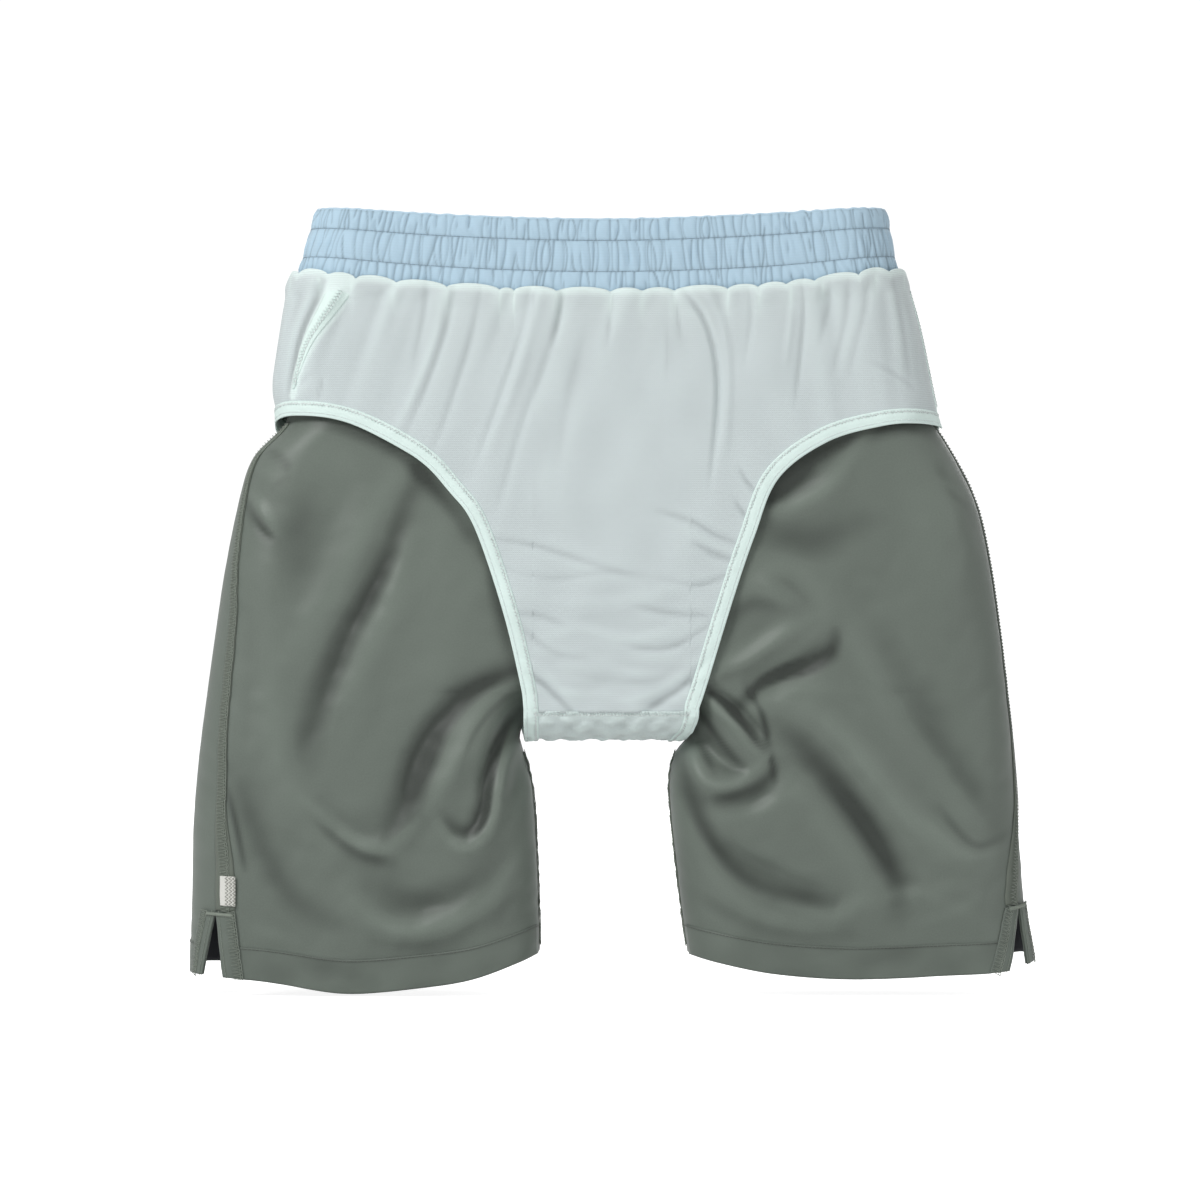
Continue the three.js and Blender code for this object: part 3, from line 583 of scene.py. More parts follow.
def gusset_skin(x, turn, lift=0.0):
    """Place on the gusset, x across from the centre line, lift outwards from its face."""
    depth = float(half_depth(GUSSET_TOP)) + LINER_OUT + 0.6
    x, turn = np.broadcast_arrays(np.asarray(x, float), np.asarray(turn, float))
    run = turn * GUSSET_BEND
    wrinkle = 0.5 * ripples(x, run, 13, 31) + 0.25 * ripples(x, run, 6, 32)
    reach = depth + wrinkle + lift
    drop = GUSSET_TOP - GUSSET_LOW + wrinkle + lift
    return np.stack([CENTRE_X + x, -reach * np.cos(turn), GUSSET_TOP - drop * np.sin(turn)], -1)


BAND_END = {-1: -189.0, 1: 175.0}  # x of the band's ends at its top
BAND_LEAN = {-1: 12.0, 1: 8.0}  # how much further out they lie at its foot
LAP = 5.0  # how far the liner laps over the foot of the band
STITCH_ROWS = (0.316, 0.73)  # heights of the two rows, as a share of the band


def band_base(way, up):
    """Place and outward direction on the smooth band. way goes once round from 0 to 1, from centre
    front; up goes from 0 at the foot to 1 at the top."""
    way, up = np.broadcast_arrays(np.asarray(way, float), np.asarray(up, float))
    turn = way * 4
    sign = np.where(turn < 2, 1.0, -1.0)
    half = np.where(turn < 2, turn, 4 - turn)
    end = np.where(sign < 0, BAND_END[-1] - BAND_LEAN[-1] * (1 - up),
                   BAND_END[1] + BAND_LEAN[1] * (1 - up))
    flat = np.abs(end - sign * BAND_DEPTH - CENTRE_X)
    arc = BAND_DEPTH * math.pi
    run = half / 2 * (2 * flat + arc)
    angle = np.clip((run - flat) / BAND_DEPTH, 0, math.pi)
    over = np.clip(run - flat - arc, 0, None)
    x = CENTRE_X + sign * (np.minimum(run, flat) - over)
    out = np.stack([sign * np.sin(angle), -np.cos(angle), np.zeros(np.shape(angle))], -1)
    at_x = x + BAND_DEPTH * out[..., 0]
    y = BAND_DEPTH * out[..., 1]
    foot = band_edge(at_x) - LAP
    h = foot + (band_top(at_x) - foot) * up - BACK_DIP * ease(y, -10, 30)
    return np.stack([at_x, y, h], -1), out


def band_round(way):
    """Millimetres round the band from centre front."""
    return way * BAND_ROUND


def creases(channel, seed):
    """Creases of one channel as (place round, slant, lower end, upper end, strength, bow). The ends are
    shares of the channel's height."""
    rng = np.random.default_rng(300 + 10 * seed + channel)
    gaps = rng.choice([1.7, 2.6, 3.6, 4.8, 6.4, 8.0], 300, p=[0.16, 0.18, 0.24, 0.22, 0.14, 0.06])
    places = np.cumsum(gaps)
    places = places[places < BAND_ROUND - 3.0]
    count = len(places)
    foot = np.where(rng.random(count) < 0.12, rng.uniform(0.2, 0.6, count), -0.3)
    head = np.where(rng.random(count) < 0.12, rng.uniform(0.4, 0.8, count), 1.3)
    bow = rng.normal(0, 0.9, count)
    return np.stack([places, rng.normal(0, 1.3, count), foot, head, rng.uniform(0.5, 1.0, count), bow], -1)


def gather_height(way, up, seed=0, crease_shade=False):
    """Puffs of the band between its stitch rows, drawn in along creases. When asked for the crease shade, how
    much
    painted shade each place gets instead: most in the creases and by the stitch rows, below 0 for a painted
    highlight on the puffs."""
    low, high = STITCH_ROWS
    way, up = np.broadcast_arrays(way, up)
    total = np.zeros(way.shape)
    round_mm = band_round(way)
    for k, (a, b) in enumerate([(-0.02, low), (low, high), (high, 1.0001)]):
        inside = (up >= a) & (up < b)
        if not inside.any():
            continue
        t = (up[inside] - a) / (b - a)
        here = round_mm[inside]
        narrow = np.zeros(here.shape)
        wide = np.zeros(here.shape)
        for place, slant, foot, head, strength, bow in creases(k, seed):
            off = here - place - slant * (t - 0.5) - bow * (4 * t * (1 - t) - 0.5)
            off = np.abs((off + BAND_ROUND / 2) % BAND_ROUND - BAND_ROUND / 2)
            near = off < 6
            if not near.any():
                continue
            begun = ease(t[near], foot - 0.15, foot + 0.15)
            ended = ease(t[near], head - 0.15, head + 0.15)
            runs = strength * begun * (1 - ended)
            narrow[near] = np.maximum(narrow[near], runs * np.exp(-(off[near] / 0.58) ** 2))
            wide[near] = np.maximum(wide[near], runs * np.exp(-(off[near] / 1.7) ** 2))
        swell = np.sin(math.pi * np.clip(t, 0, 1)) ** 0.6
        edge = 1 - ease(np.minimum(t, 1 - t), 0.0, 0.16)
        # painted shade in the narrow creases and by the stitch rows, painted highlight on the puffs
        if crease_shade:
            total[inside] = narrow - 0.35 * swell * (1 - wide) + 0.25 * edge
        else:
            soft = 0.25 * closed_noise(here + 6 * t, 60, 150, 60 + k + seed)
            total[inside] = 0.25 + swell * (1.15 + soft - 0.75 * wide) - 0.55 * narrow * (0.4 + 0.6 * swell)
    return total


def closed_noise(round_mm, low, high, seed):
    """Unevenness along the band that meets itself; low to high waves go round."""
    rng = np.random.default_rng(seed)
    total = np.zeros(np.shape(round_mm))
    counts = rng.integers(low, high, 22)
    for count in counts:
        total = total + np.sin(2 * math.pi * count * round_mm / BAND_ROUND + rng.uniform(0, 2 * math.pi))
    return total / math.sqrt(11)


def rim_wave(way):
    """Small ups and downs of the band's top edge."""
    return 0.16 * closed_noise(band_round(way), 40, 120, 90)


def band_skin(way, up, lift=0.0, gathers=1.0):
    """Place on the gathered band, lift outwards from its face."""
    at, out = band_base(way, up)
    push = gathers * gather_height(way, up) + lift
    moved = at + out * push[..., None]
    moved[..., 2] += gathers * rim_wave(way) * ease(up, 0.8, 1.0)
    return moved


# ---------------------------------------------------------------- meshes

def new_object(name, mesh):
    obj = bpy.data.objects.new(name, mesh)
    bpy.context.scene.collection.objects.link(obj)
    return obj


def grid_normals(points, outward, closed):
    """Unit normals of a grid on its outward side, and -1 where the grid's own order gives the inner one."""
    along = np.gradient(points, axis=0)
    if closed:
        across = np.roll(points, -1, axis=1) - np.roll(points, 1, axis=1)
    else:
        across = np.gradient(points, axis=1)
    normal = np.cross(across, along)
    length = np.linalg.norm(normal, axis=-1, keepdims=True)
    normal = normal / np.maximum(length, 1e-9)
    flip = np.sign(np.median((normal * outward).sum(-1)))
    return normal * (flip if flip else 1.0), flip


def cloth(name, points, outward, thickness, materials, uv, closed=False):
    """A closed sheet of cloth over a grid of places in mm, thickness inwards. uv is in mm too.
    The first material is on the outer face and the rim, the last on the inner face."""
    rows, columns = points.shape[:2]
    normal, flip = grid_normals(points, outward, closed)
    inner = points - normal * thickness
    co = put(np.concatenate([points.reshape(-1, 3), inner.reshape(-1, 3)]))
    index = np.arange(rows * columns).reshape(rows, columns)
    right = np.roll(index, -1, axis=1) if closed else index[:, 1:]
    left = index if closed else index[:, :-1]
    quads = np.stack([left[:-1], right[:-1], right[1:], left[1:]], -1).reshape(-1, 4)
    if flip < 0:
        quads = quads[:, ::-1]
    total = rows * columns
    rims = [(index[0], False), (index[-1], True)]
    if not closed:
        rims += [(index[:, 0], True), (index[:, -1], False)]
    rim_faces = []
    for line, turned in rims:
        a, b = (line, np.roll(line, -1)) if closed else (line[:-1], line[1:])
        face = np.stack([b, a, a + total, b + total], -1)
        if turned != (flip < 0):
            face = face[:, ::-1]
        rim_faces.append(face)
    faces = np.concatenate([quads, quads[:, ::-1] + total, *rim_faces])
    mesh = bpy.data.meshes.new(name)
    mesh.from_pydata(co.tolist(), [], faces.tolist())
    mesh.shade_smooth()
    layer = mesh.uv_layers.new(name="cloth")
    flat = np.concatenate([uv.reshape(-1, 2)] * 2) * MM
    layer.data.foreach_set("uv", flat[faces.ravel()].ravel())
    for material in materials:
        mesh.materials.append(material)
    slots = np.zeros(len(faces), np.int32)
    slots[len(quads):2 * len(quads)] = len(materials) - 1
    mesh.polygons.foreach_set("material_index", slots)
    mesh.validate()
    mesh.update()
    return new_object(name, mesh)


def swept(name, section, material, uv_round):
    """A closed loop of closed sections in mm: section has shape (stations, points, 3)."""
    stations, points = section.shape[:2]
    index = np.arange(stations * points).reshape(stations, points)
    a, b = index, np.roll(index, -1, axis=1)
    c, d = np.roll(b, -1, axis=0), np.roll(a, -1, axis=0)
    faces = np.stack([a, b, c, d], -1).reshape(-1, 4)
    mesh = bpy.data.meshes.new(name)
    mesh.from_pydata(put(section.reshape(-1, 3)).tolist(), [], faces.tolist())
    mesh.shade_smooth()
    layer = mesh.uv_layers.new(name="cloth")
    layer.data.foreach_set("uv", (uv_round.reshape(-1, 2) * MM)[faces.ravel()].ravel())
    mesh.materials.append(material)
    tidy_normals(mesh)
    return new_object(name, mesh)


def tidy_normals(mesh):
    """Turns the faces of a closed mesh outwards."""
    work = bmesh.new()
    work.from_mesh(mesh)
    bmesh.ops.recalc_face_normals(work, faces=work.faces)
    work.to_mesh(mesh)
    work.free()
    mesh.update()


def tube(points, radius, sides=5):
    """Vertices and faces of a closed thread along points in mm."""
    points = np.asarray(points, float)
    tangent = np.gradient(points, axis=0)
    tangent /= np.linalg.norm(tangent, axis=1)[:, None]
    side = np.cross(tangent, [0.0, 0.0, 1.0])
    side /= np.maximum(np.linalg.norm(side, axis=1)[:, None], 1e-6)
    up = np.cross(side, tangent)
    angles = np.linspace(0, 2 * math.pi, sides, endpoint=False)
    rings = points[:, None] + radius * (np.cos(angles)[None, :, None] * side[:, None]
                                        + np.sin(angles)[None, :, None] * up[:, None])
    count = len(points)
    index = np.arange(count * sides).reshape(count, sides)
    turned = np.roll(index, -1, axis=1)
    faces = np.stack([index[:-1], turned[:-1], turned[1:], index[1:]], -1).reshape(-1, 4).tolist()
    faces += [index[0][::-1].tolist(), index[-1].tolist()]
    return rings.reshape(-1, 3), faces


def thread_unit(name, paths, radius):
    """One repeat of a stitch, lying along X with the cloth's outside at +Z, in mm."""
    vertices, faces, start = [], [], 0
    for path in paths:
        v, f = tube(path, radius)
        vertices.extend((v * MM).tolist())
        faces.extend([[i + start for i in face] for face in f])
        start += len(v)
    mesh = bpy.data.meshes.new(name)
    mesh.from_pydata(vertices, [], faces)
    mesh.shade_smooth()
    tidy_normals(mesh)
    return bpy.data.objects.new(name, mesh)


# ---------------------------------------------------------------- sewn rows, by geometry nodes

def sewn_row_tree():
    """Lays copies of one stitch unit along lines, turned to the line and to the cloth's outside."""
    found = bpy.data.node_groups.get("sewn_row")
    if found:
        return found
    tree = bpy.data.node_groups.new("sewn_row", "GeometryNodeTree")
    face = tree.interface
    face.new_socket("Geometry", in_out="OUTPUT", socket_type="NodeSocketGeometry")
    face.new_socket("Geometry", in_out="INPUT", socket_type="NodeSocketGeometry")
    face.new_socket("Stitch", in_out="INPUT", socket_type="NodeSocketObject")
    pitch = face.new_socket("Pitch", in_out="INPUT", socket_type="NodeSocketFloat")
    pitch.default_value = 0.0024
    wobble = face.new_socket("Wobble", in_out="INPUT", socket_type="NodeSocketFloat")
    wobble.default_value = 0.05
    seed = face.new_socket("Seed", in_out="INPUT", socket_type="NodeSocketInt")
    seed.default_value = 1
    face.new_socket("Thread", in_out="INPUT", socket_type="NodeSocketMaterial")
    nodes, link = tree.nodes, tree.links.new
    entry = nodes.new("NodeGroupInput")
    leave = nodes.new("NodeGroupOutput")
    curve = nodes.new("GeometryNodeMeshToCurve")
    even = nodes.new("GeometryNodeResampleCurve")
    even.mode = "LENGTH"
    stitch = nodes.new("GeometryNodeObjectInfo")
    tangent = nodes.new("GeometryNodeInputTangent")
    outside = nodes.new("GeometryNodeInputNamedAttribute")
    outside.data_type = "FLOAT_VECTOR"
    outside.inputs["Name"].default_value = "out"
    along = nodes.new("FunctionNodeAlignRotationToVector")
    along.axis = "X"
    facing = nodes.new("FunctionNodeAlignRotationToVector")
    facing.axis = "Z"
    facing.pivot_axis = "X"
    chance = nodes.new("FunctionNodeRandomValue")
    chance.data_type = "FLOAT_VECTOR"
    wide = nodes.new("ShaderNodeMath")
    wide.operation = "ADD"
    wide.inputs[0].default_value = 1.0
    narrow = nodes.new("ShaderNodeMath")
    narrow.operation = "SUBTRACT"
    narrow.inputs[0].default_value = 1.0
    copies = nodes.new("GeometryNodeInstanceOnPoints")
    real = nodes.new("GeometryNodeRealizeInstances")
    paint = nodes.new("GeometryNodeSetMaterial")
    link(entry.outputs["Geometry"], curve.inputs["Mesh"])
    link(curve.outputs["Curve"], even.inputs["Curve"])
    link(entry.outputs["Pitch"], even.inputs["Length"])
    link(even.outputs["Curve"], copies.inputs["Points"])
    link(entry.outputs["Stitch"], stitch.inputs["Object"])
    link(stitch.outputs["Geometry"], copies.inputs["Instance"])
    link(tangent.outputs["Tangent"], along.inputs["Vector"])
    link(along.outputs["Rotation"], facing.inputs["Rotation"])
    link(outside.outputs["Attribute"], facing.inputs["Vector"])
    link(facing.outputs["Rotation"], copies.inputs["Rotation"])
    link(entry.outputs["Wobble"], wide.inputs[1])
    link(entry.outputs["Wobble"], narrow.inputs[1])
    link(narrow.outputs[0], chance.inputs["Min"])
    link(wide.outputs[0], chance.inputs["Max"])
    link(entry.outputs["Seed"], chance.inputs["Seed"])
    link(chance.outputs["Value"], copies.inputs["Scale"])
    link(copies.outputs["Instances"], real.inputs["Geometry"])
    link(real.outputs["Geometry"], paint.inputs["Geometry"])
    link(entry.outputs["Thread"], paint.inputs["Material"])
    link(paint.outputs["Geometry"], leave.inputs["Geometry"])
    return tree


def set_inputs(modifier, values):
    """Sets a modifier's inputs, given by their names, through their identifiers."""
    sockets = {item.name: item.identifier for item in modifier.node_group.interface.items_tree
               if item.item_type == "SOCKET" and item.in_out == "INPUT"}
    for name, value in values.items():
        modifier[sockets[name]] = value


def sewn_rows(name, rows, unit, pitch, material, seed):
    """Stitch units along rows, each a line of places in mm and the cloth's outward directions there."""
    vertices, edges, start = [], [], 0
    for line, _ in rows:
        vertices.extend(put(line).tolist())
        edges.extend([(start + i, start + i + 1) for i in range(len(line) - 1)])
        start += len(line)
    mesh = bpy.data.meshes.new(name)
    mesh.from_pydata(vertices, edges, [])
    outs = np.concatenate([out for _, out in rows])
    attribute = mesh.attributes.new("out", "FLOAT_VECTOR", "POINT")
    attribute.data.foreach_set("vector", outs.astype(np.float32).ravel())
    obj = new_object(name, mesh)
    modifier = obj.modifiers.new("sewing", "NODES")
    modifier.node_group = sewn_row_tree()
    set_inputs(modifier, {"Stitch": unit, "Pitch": pitch * MM, "Wobble": WOBBLE, "Seed": seed,
                          "Thread": material})
    return finished(obj)


def finished(obj):
    """The piece with its modifiers made part of its mesh."""
    sight = bpy.context.evaluated_depsgraph_get()
    mesh = bpy.data.meshes.new_from_object(obj.evaluated_get(sight))
    mesh.name = obj.name
    obj.modifiers.clear()
    old = obj.data
    obj.data = mesh
    bpy.data.meshes.remove(old)
    mesh.shade_smooth()
    return obj


def outs_along(skin):
    """Line and outward directions from a skin function of lift."""
    low, high = skin(0.0), skin(1.0)
    out = high - low
    return low, out / np.linalg.norm(out, axis=-1, keepdims=True)


# ---------------------------------------------------------------- colours and materials

def linear(red, green, blue):
    """A colour as it looks on a screen, 0 to 255, as the scene's linear colour."""
    values = [c / 255 for c in (red, green, blue)]
    return tuple(c / 12.92 if c < 0.04045 else ((c + 0.055) / 1.055) ** 2.4 for c in values)


def new_group(name, inputs, outputs):
    """An empty shader group with its sockets: the tree, its entry node and its exit node."""
    tree = bpy.data.node_groups.new(name, "ShaderNodeTree")
    for label, kind, value in inputs:
        socket = tree.interface.new_socket(label, in_out="INPUT", socket_type=kind)
        if value is not None:
            socket.default_value = value
    for label, kind in outputs:
        tree.interface.new_socket(label, in_out="OUTPUT", socket_type=kind)
    return tree, tree.nodes.new("NodeGroupInput"), tree.nodes.new("NodeGroupOutput")


def feed(tree, socket, value):
    """Sets a socket to a number or a colour, or links another socket to it."""
    if isinstance(value, (int, float)):
        socket.default_value = value
    elif isinstance(value, tuple):
        socket.default_value = (*value, 1.0)
    else:
        tree.links.new(value, socket)


def sums(tree, operation, *values, clamp=False):
    """A Math node; values are numbers or sockets."""
    node = tree.nodes.new("ShaderNodeMath")
    node.operation = operation
    node.use_clamp = clamp
    for socket, value in zip(node.inputs, values):
        feed(tree, socket, value)
    return node.outputs[0]


def blended(tree, share, first, second, how="MIX"):
    """A colour Mix node; share is a number or a socket, first and second are colours or sockets."""
    node = tree.nodes.new("ShaderNodeMix")
    node.data_type = "RGBA"
    node.blend_type = how
    for index, value in ((0, share), (6, first), (7, second)):
        feed(tree, node.inputs[index], value)
    return node.outputs[2]


def weave_group():
    """Threads crossing at a pitch each way, as a height from 0 to 1, with uneven yarn."""
    found = bpy.data.node_groups.get("weave")
    if found:
        return found
    tree, entry, leave = new_group("weave", [
        ("Vector", "NodeSocketVector", None), ("Across", "NodeSocketFloat", 0.001),
        ("Along", "NodeSocketFloat", 0.001), ("Slant", "NodeSocketFloat", 0.0),
        ("Yarn", "NodeSocketFloat", 0.3)],
        [("Height", "NodeSocketFloat"), ("Yarn", "NodeSocketFloat")])
    split = tree.nodes.new("ShaderNodeSeparateXYZ")
    tree.links.new(entry.outputs["Vector"], split.inputs[0])
    skew = sums(tree, "MULTIPLY_ADD", split.outputs["Y"], entry.outputs["Slant"], split.outputs["X"])
    turns_u = sums(tree, "DIVIDE", skew, entry.outputs["Across"])
    turns_v = sums(tree, "DIVIDE", split.outputs["Y"], entry.outputs["Along"])
    wave_u = sums(tree, "SINE", sums(tree, "MULTIPLY", turns_u, 2 * math.pi))
    wave_v = sums(tree, "SINE", sums(tree, "MULTIPLY", turns_v, 2 * math.pi))
    cross = sums(tree, "MULTIPLY", wave_u, wave_v)
    both = sums(tree, "MULTIPLY_ADD", wave_v, 0.5, cross)
    noise = tree.nodes.new("ShaderNodeTexNoise")
    noise.inputs["Scale"].default_value = 900.0
    noise.inputs["Detail"].default_value = 2.0
    tree.links.new(entry.outputs["Vector"], noise.inputs["Vector"])
    uneven = sums(tree, "MULTIPLY", sums(tree, "SUBTRACT", noise.outputs["Fac"], 0.5),
                  entry.outputs["Yarn"])
    height = sums(tree, "MULTIPLY_ADD", both, 0.25, sums(tree, "ADD", uneven, 0.5))
    tree.links.new(height, leave.inputs["Height"])
    tree.links.new(noise.outputs["Fac"], leave.inputs["Yarn"])
    return tree


def fold_shade_group():
    """Cloth colour with painted shade in the valleys of folds and a painted highlight on the ridges, lighter
    at the edges, and slightly uneven from place to place."""
    found = bpy.data.node_groups.get("folded_colour")
    if found:
        return found
    tree, entry, leave = new_group("folded_colour", [
        ("Vector", "NodeSocketVector", None), ("Base", "NodeSocketColor", None),
        ("Deep", "NodeSocketColor", None), ("Bright", "NodeSocketColor", None),
        ("Fold", "NodeSocketFloat", 0.0), ("Edge", "NodeSocketFloat", 0.0),
        ("Yarn", "NodeSocketFloat", 0.5), ("Speckle", "NodeSocketFloat", 0.1),
        ("Patch", "NodeSocketFloat", 20.0)],
        [("Color", "NodeSocketColor")])
    patch = tree.nodes.new("ShaderNodeTexNoise")
    patch.inputs["Detail"].default_value = 3.0
    tree.links.new(entry.outputs["Vector"], patch.inputs["Vector"])
    tree.links.new(entry.outputs["Patch"], patch.inputs["Scale"])
    wash = sums(tree, "MULTIPLY", sums(tree, "SUBTRACT", patch.outputs["Fac"], 0.5), 0.35)
    # Deep is the painted shade colour, Bright the painted highlight colour and the edge colour; the patches
    # add uneven tone to both
    painted_shade_and_patches = sums(tree, "SUBTRACT", wash, entry.outputs["Fold"], clamp=True)
    painted_highlight_and_patches = sums(tree, "MULTIPLY", sums(tree, "ADD", entry.outputs["Fold"], wash, clamp=True), 0.6)
    colour = blended(tree, painted_shade_and_patches, entry.outputs["Base"], entry.outputs["Deep"])
    colour = blended(tree, painted_highlight_and_patches, colour, entry.outputs["Bright"])
    colour = blended(tree, entry.outputs["Edge"], colour, entry.outputs["Bright"])
    grain = sums(tree, "MULTIPLY_ADD", sums(tree, "SUBTRACT", entry.outputs["Yarn"], 0.5),
                 entry.outputs["Speckle"], 1.0)
    shade = tree.nodes.new("ShaderNodeCombineColor")
    for socket in shade.inputs[:3]:
        tree.links.new(grain, socket)
    colour = blended(tree, 1.0, colour, shade.outputs[0], "MULTIPLY")
    tree.links.new(colour, leave.inputs["Color"])
    return tree


def cloth_material(name, base, deep, bright, across, along, slant=0.0, speckle=0.12, patch=20.0, bump=0.2,
                   roughness=0.75, sheen=0.15, yarn=0.3):
    """A woven or knitted finish, with painted shade and painted highlight from the mesh's fold attribute.
    across and along are the thread pitches in metres.
    """
    found = bpy.data.materials.get(name)
    if found:
        return found
    made = bpy.data.materials.new(name)
    made.use_nodes = True
    tree = made.node_tree
    shader = tree.nodes["Principled BSDF"]
    place = tree.nodes.new("ShaderNodeUVMap")
    place.uv_map = "cloth"
    weave = tree.nodes.new("ShaderNodeGroup")
    weave.node_tree = weave_group()
    folded = tree.nodes.new("ShaderNodeGroup")
    folded.node_tree = fold_shade_group()
    fold = tree.nodes.new("ShaderNodeAttribute")
    fold.attribute_name = "fold"
    edge = tree.nodes.new("ShaderNodeAttribute")
    edge.attribute_name = "edge"
    for label, value in (("Across", across), ("Along", along), ("Slant", slant), ("Yarn", yarn)):
        weave.inputs[label].default_value = value
    for label, value in (("Base", base), ("Deep", deep), ("Bright", bright)):
        folded.inputs[label].default_value = (*value, 1.0)
    folded.inputs["Speckle"].default_value = speckle
    folded.inputs["Patch"].default_value = patch
    link = tree.links.new
    link(place.outputs["UV"], weave.inputs["Vector"])
    link(place.outputs["UV"], folded.inputs["Vector"])
    link(fold.outputs["Fac"], folded.inputs["Fold"])
    link(edge.outputs["Fac"], folded.inputs["Edge"])
    link(weave.outputs["Height"], folded.inputs["Yarn"])
    link(folded.outputs["Color"], shader.inputs["Base Color"])
    relief = tree.nodes.new("ShaderNodeBump")
    relief.inputs["Strength"].default_value = bump
    relief.inputs["Distance"].default_value = 0.0003
    link(weave.outputs["Height"], relief.inputs["Height"])
    link(relief.outputs["Normal"], shader.inputs["Normal"])
    gloss = sums(tree, "MULTIPLY_ADD", weave.outputs["Yarn"], 0.16, roughness - 0.08)
    link(gloss, shader.inputs["Roughness"])
    shader.inputs["Sheen Weight"].default_value = sheen
    shader.inputs["Sheen Roughness"].default_value = 0.45
    shader.inputs["Specular IOR Level"].default_value = 0.35
    return made


def thread_material(name, colour):
    """Twisted sewing thread."""
    found = bpy.data.materials.get(name)
    if found:
        return found
    made = bpy.data.materials.new(name)
    made.use_nodes = True
    tree = made.node_tree
    shader = tree.nodes["Principled BSDF"]
    place = tree.nodes.new("ShaderNodeTexCoord")
    noise = tree.nodes.new("ShaderNodeTexNoise")
    noise.inputs["Scale"].default_value = 700.0
    tree.links.new(place.outputs["Object"], noise.inputs["Vector"])
    dark = tuple(c * 0.72 for c in colour)
    tree.links.new(blended(tree, noise.outputs["Fac"], dark, tuple(min(c * 1.2, 1) for c in colour)),
                   shader.inputs["Base Color"])
    relief = tree.nodes.new("ShaderNodeBump")
    relief.inputs["Strength"].default_value = 0.4
    relief.inputs["Distance"].default_value = 0.0001
    tree.links.new(noise.outputs["Fac"], relief.inputs["Height"])
    tree.links.new(relief.outputs["Normal"], shader.inputs["Normal"])
    tree.links.new(sums(tree, "MULTIPLY_ADD", noise.outputs["Fac"], 0.2, 0.45), shader.inputs["Roughness"])
    shader.inputs["Sheen Weight"].default_value = 0.2
    return made


def tinted(colour, share):
    return tuple(min(c * share, 1.0) for c in colour)


def finishes():
    """Every material of the shorts, by name."""
    c = bpy.context.scene.shorts_colours
    band, mesh, tape, shell = tuple(c.band), tuple(c.liner), tuple(c.binding), tuple(c.shell)
    face, seam = tuple(c.shell_face), tuple(c.seam_thread)
    # in each cloth the second colour is its painted shade and the third its painted highlight and edge
    # colour, mixed in by the fold and edge attributes
    return {
        "band": cloth_material("gathered_poplin", band, tinted(band, 0.52), tinted(band, 1.14), 0.0006,
                               0.0005, speckle=0.10, patch=30.0, bump=0.15, roughness=0.78, sheen=0.2),
        "mesh": cloth_material("tricot_mesh", mesh, tinted(mesh, 0.66), tuple(c.liner_edge), 0.0012, 0.0014,
                               speckle=0.42, patch=12.0, bump=0.35, roughness=0.85, sheen=0.25, yarn=0.5),
        "tape": cloth_material("knit_tape", tape, tinted(tape, 0.86), tinted(tape, 1.08), 0.0014, 0.0009,
                               speckle=0.10, patch=25.0, bump=0.35, roughness=0.82, sheen=0.25),
        "satin": cloth_material("satin_wrong_side", shell, tinted(shell, 0.30), tinted(shell, 1.42), 0.0009,
                                0.0006, slant=0.6, speckle=0.32, patch=9.0, bump=0.14, roughness=0.46,
                                sheen=0.25, yarn=0.7),
        "face": cloth_material("satin_face_side", face, tinted(face, 0.7), tinted(face, 1.25), 0.0009,
                               0.0006, slant=-0.6, speckle=0.10, patch=9.0, bump=0.08, roughness=0.42,
                               sheen=0.1),
        "hem": cloth_material("turned_hem", tinted(shell, 0.96), tinted(shell, 0.6), tinted(shell, 1.3),
                              0.0009, 0.0006, slant=0.6, speckle=0.12, patch=14.0, bump=0.10,
                              roughness=0.52, sheen=0.25, yarn=0.7),
        "overlock": cloth_material("overlocked_edge", tinted(seam, 0.85), tinted(seam, 0.6),
                                   tinted(seam, 1.2), 0.0012, 0.0008, speckle=0.3, patch=40.0, bump=0.3,
                                   roughness=0.7),
        "elastic": cloth_material("ribbed_elastic", (0.78, 0.78, 0.75), (0.5, 0.5, 0.48), (0.9, 0.9, 0.88),
                                  0.0015, 0.0022, speckle=0.25, patch=15.0, bump=0.5, roughness=0.85),
        "label": cloth_material("woven_tape", tuple(c.label), tinted(c.label, 0.8), (0.95, 0.95, 0.93),
                                0.0005, 0.0005, speckle=0.15, patch=60.0, bump=0.3, roughness=0.7),
        "seam_thread": thread_material("thread_shell", tinted(seam, 1.45)),
        "hem_thread": thread_material("thread_hem", tinted(seam, 0.5)),
        "band_thread": thread_material("thread_band", tinted(band, 0.62)),
        "white_thread": thread_material("thread_liner", tuple(c.liner_edge)),
        "khaki_thread": thread_material("thread_label", tuple(c.label_thread)),
    }


def mark(obj, name, values):
    """A value at every point, both layers of a cloth grid alike."""
    flat = np.asarray(values, np.float32).ravel()
    count = len(obj.data.vertices)
    attribute = obj.data.attributes.new(name, "FLOAT", "POINT")
    attribute.data.foreach_set("value", np.resize(flat, count))


def hollows(push, size):
    """How far each place stands out from its neighbourhood, about -1 to 1: + on ridges, - in valleys."""
    low = push.copy()
    for _ in range(size):
        low[1:-1] = (low[:-2] + 2 * low[1:-1] + low[2:]) / 4
        low[:, 1:-1] = (low[:, :-2] + 2 * low[:, 1:-1] + low[:, 2:]) / 4
    return push - low


# ---------------------------------------------------------------- sizes, colours, stitches

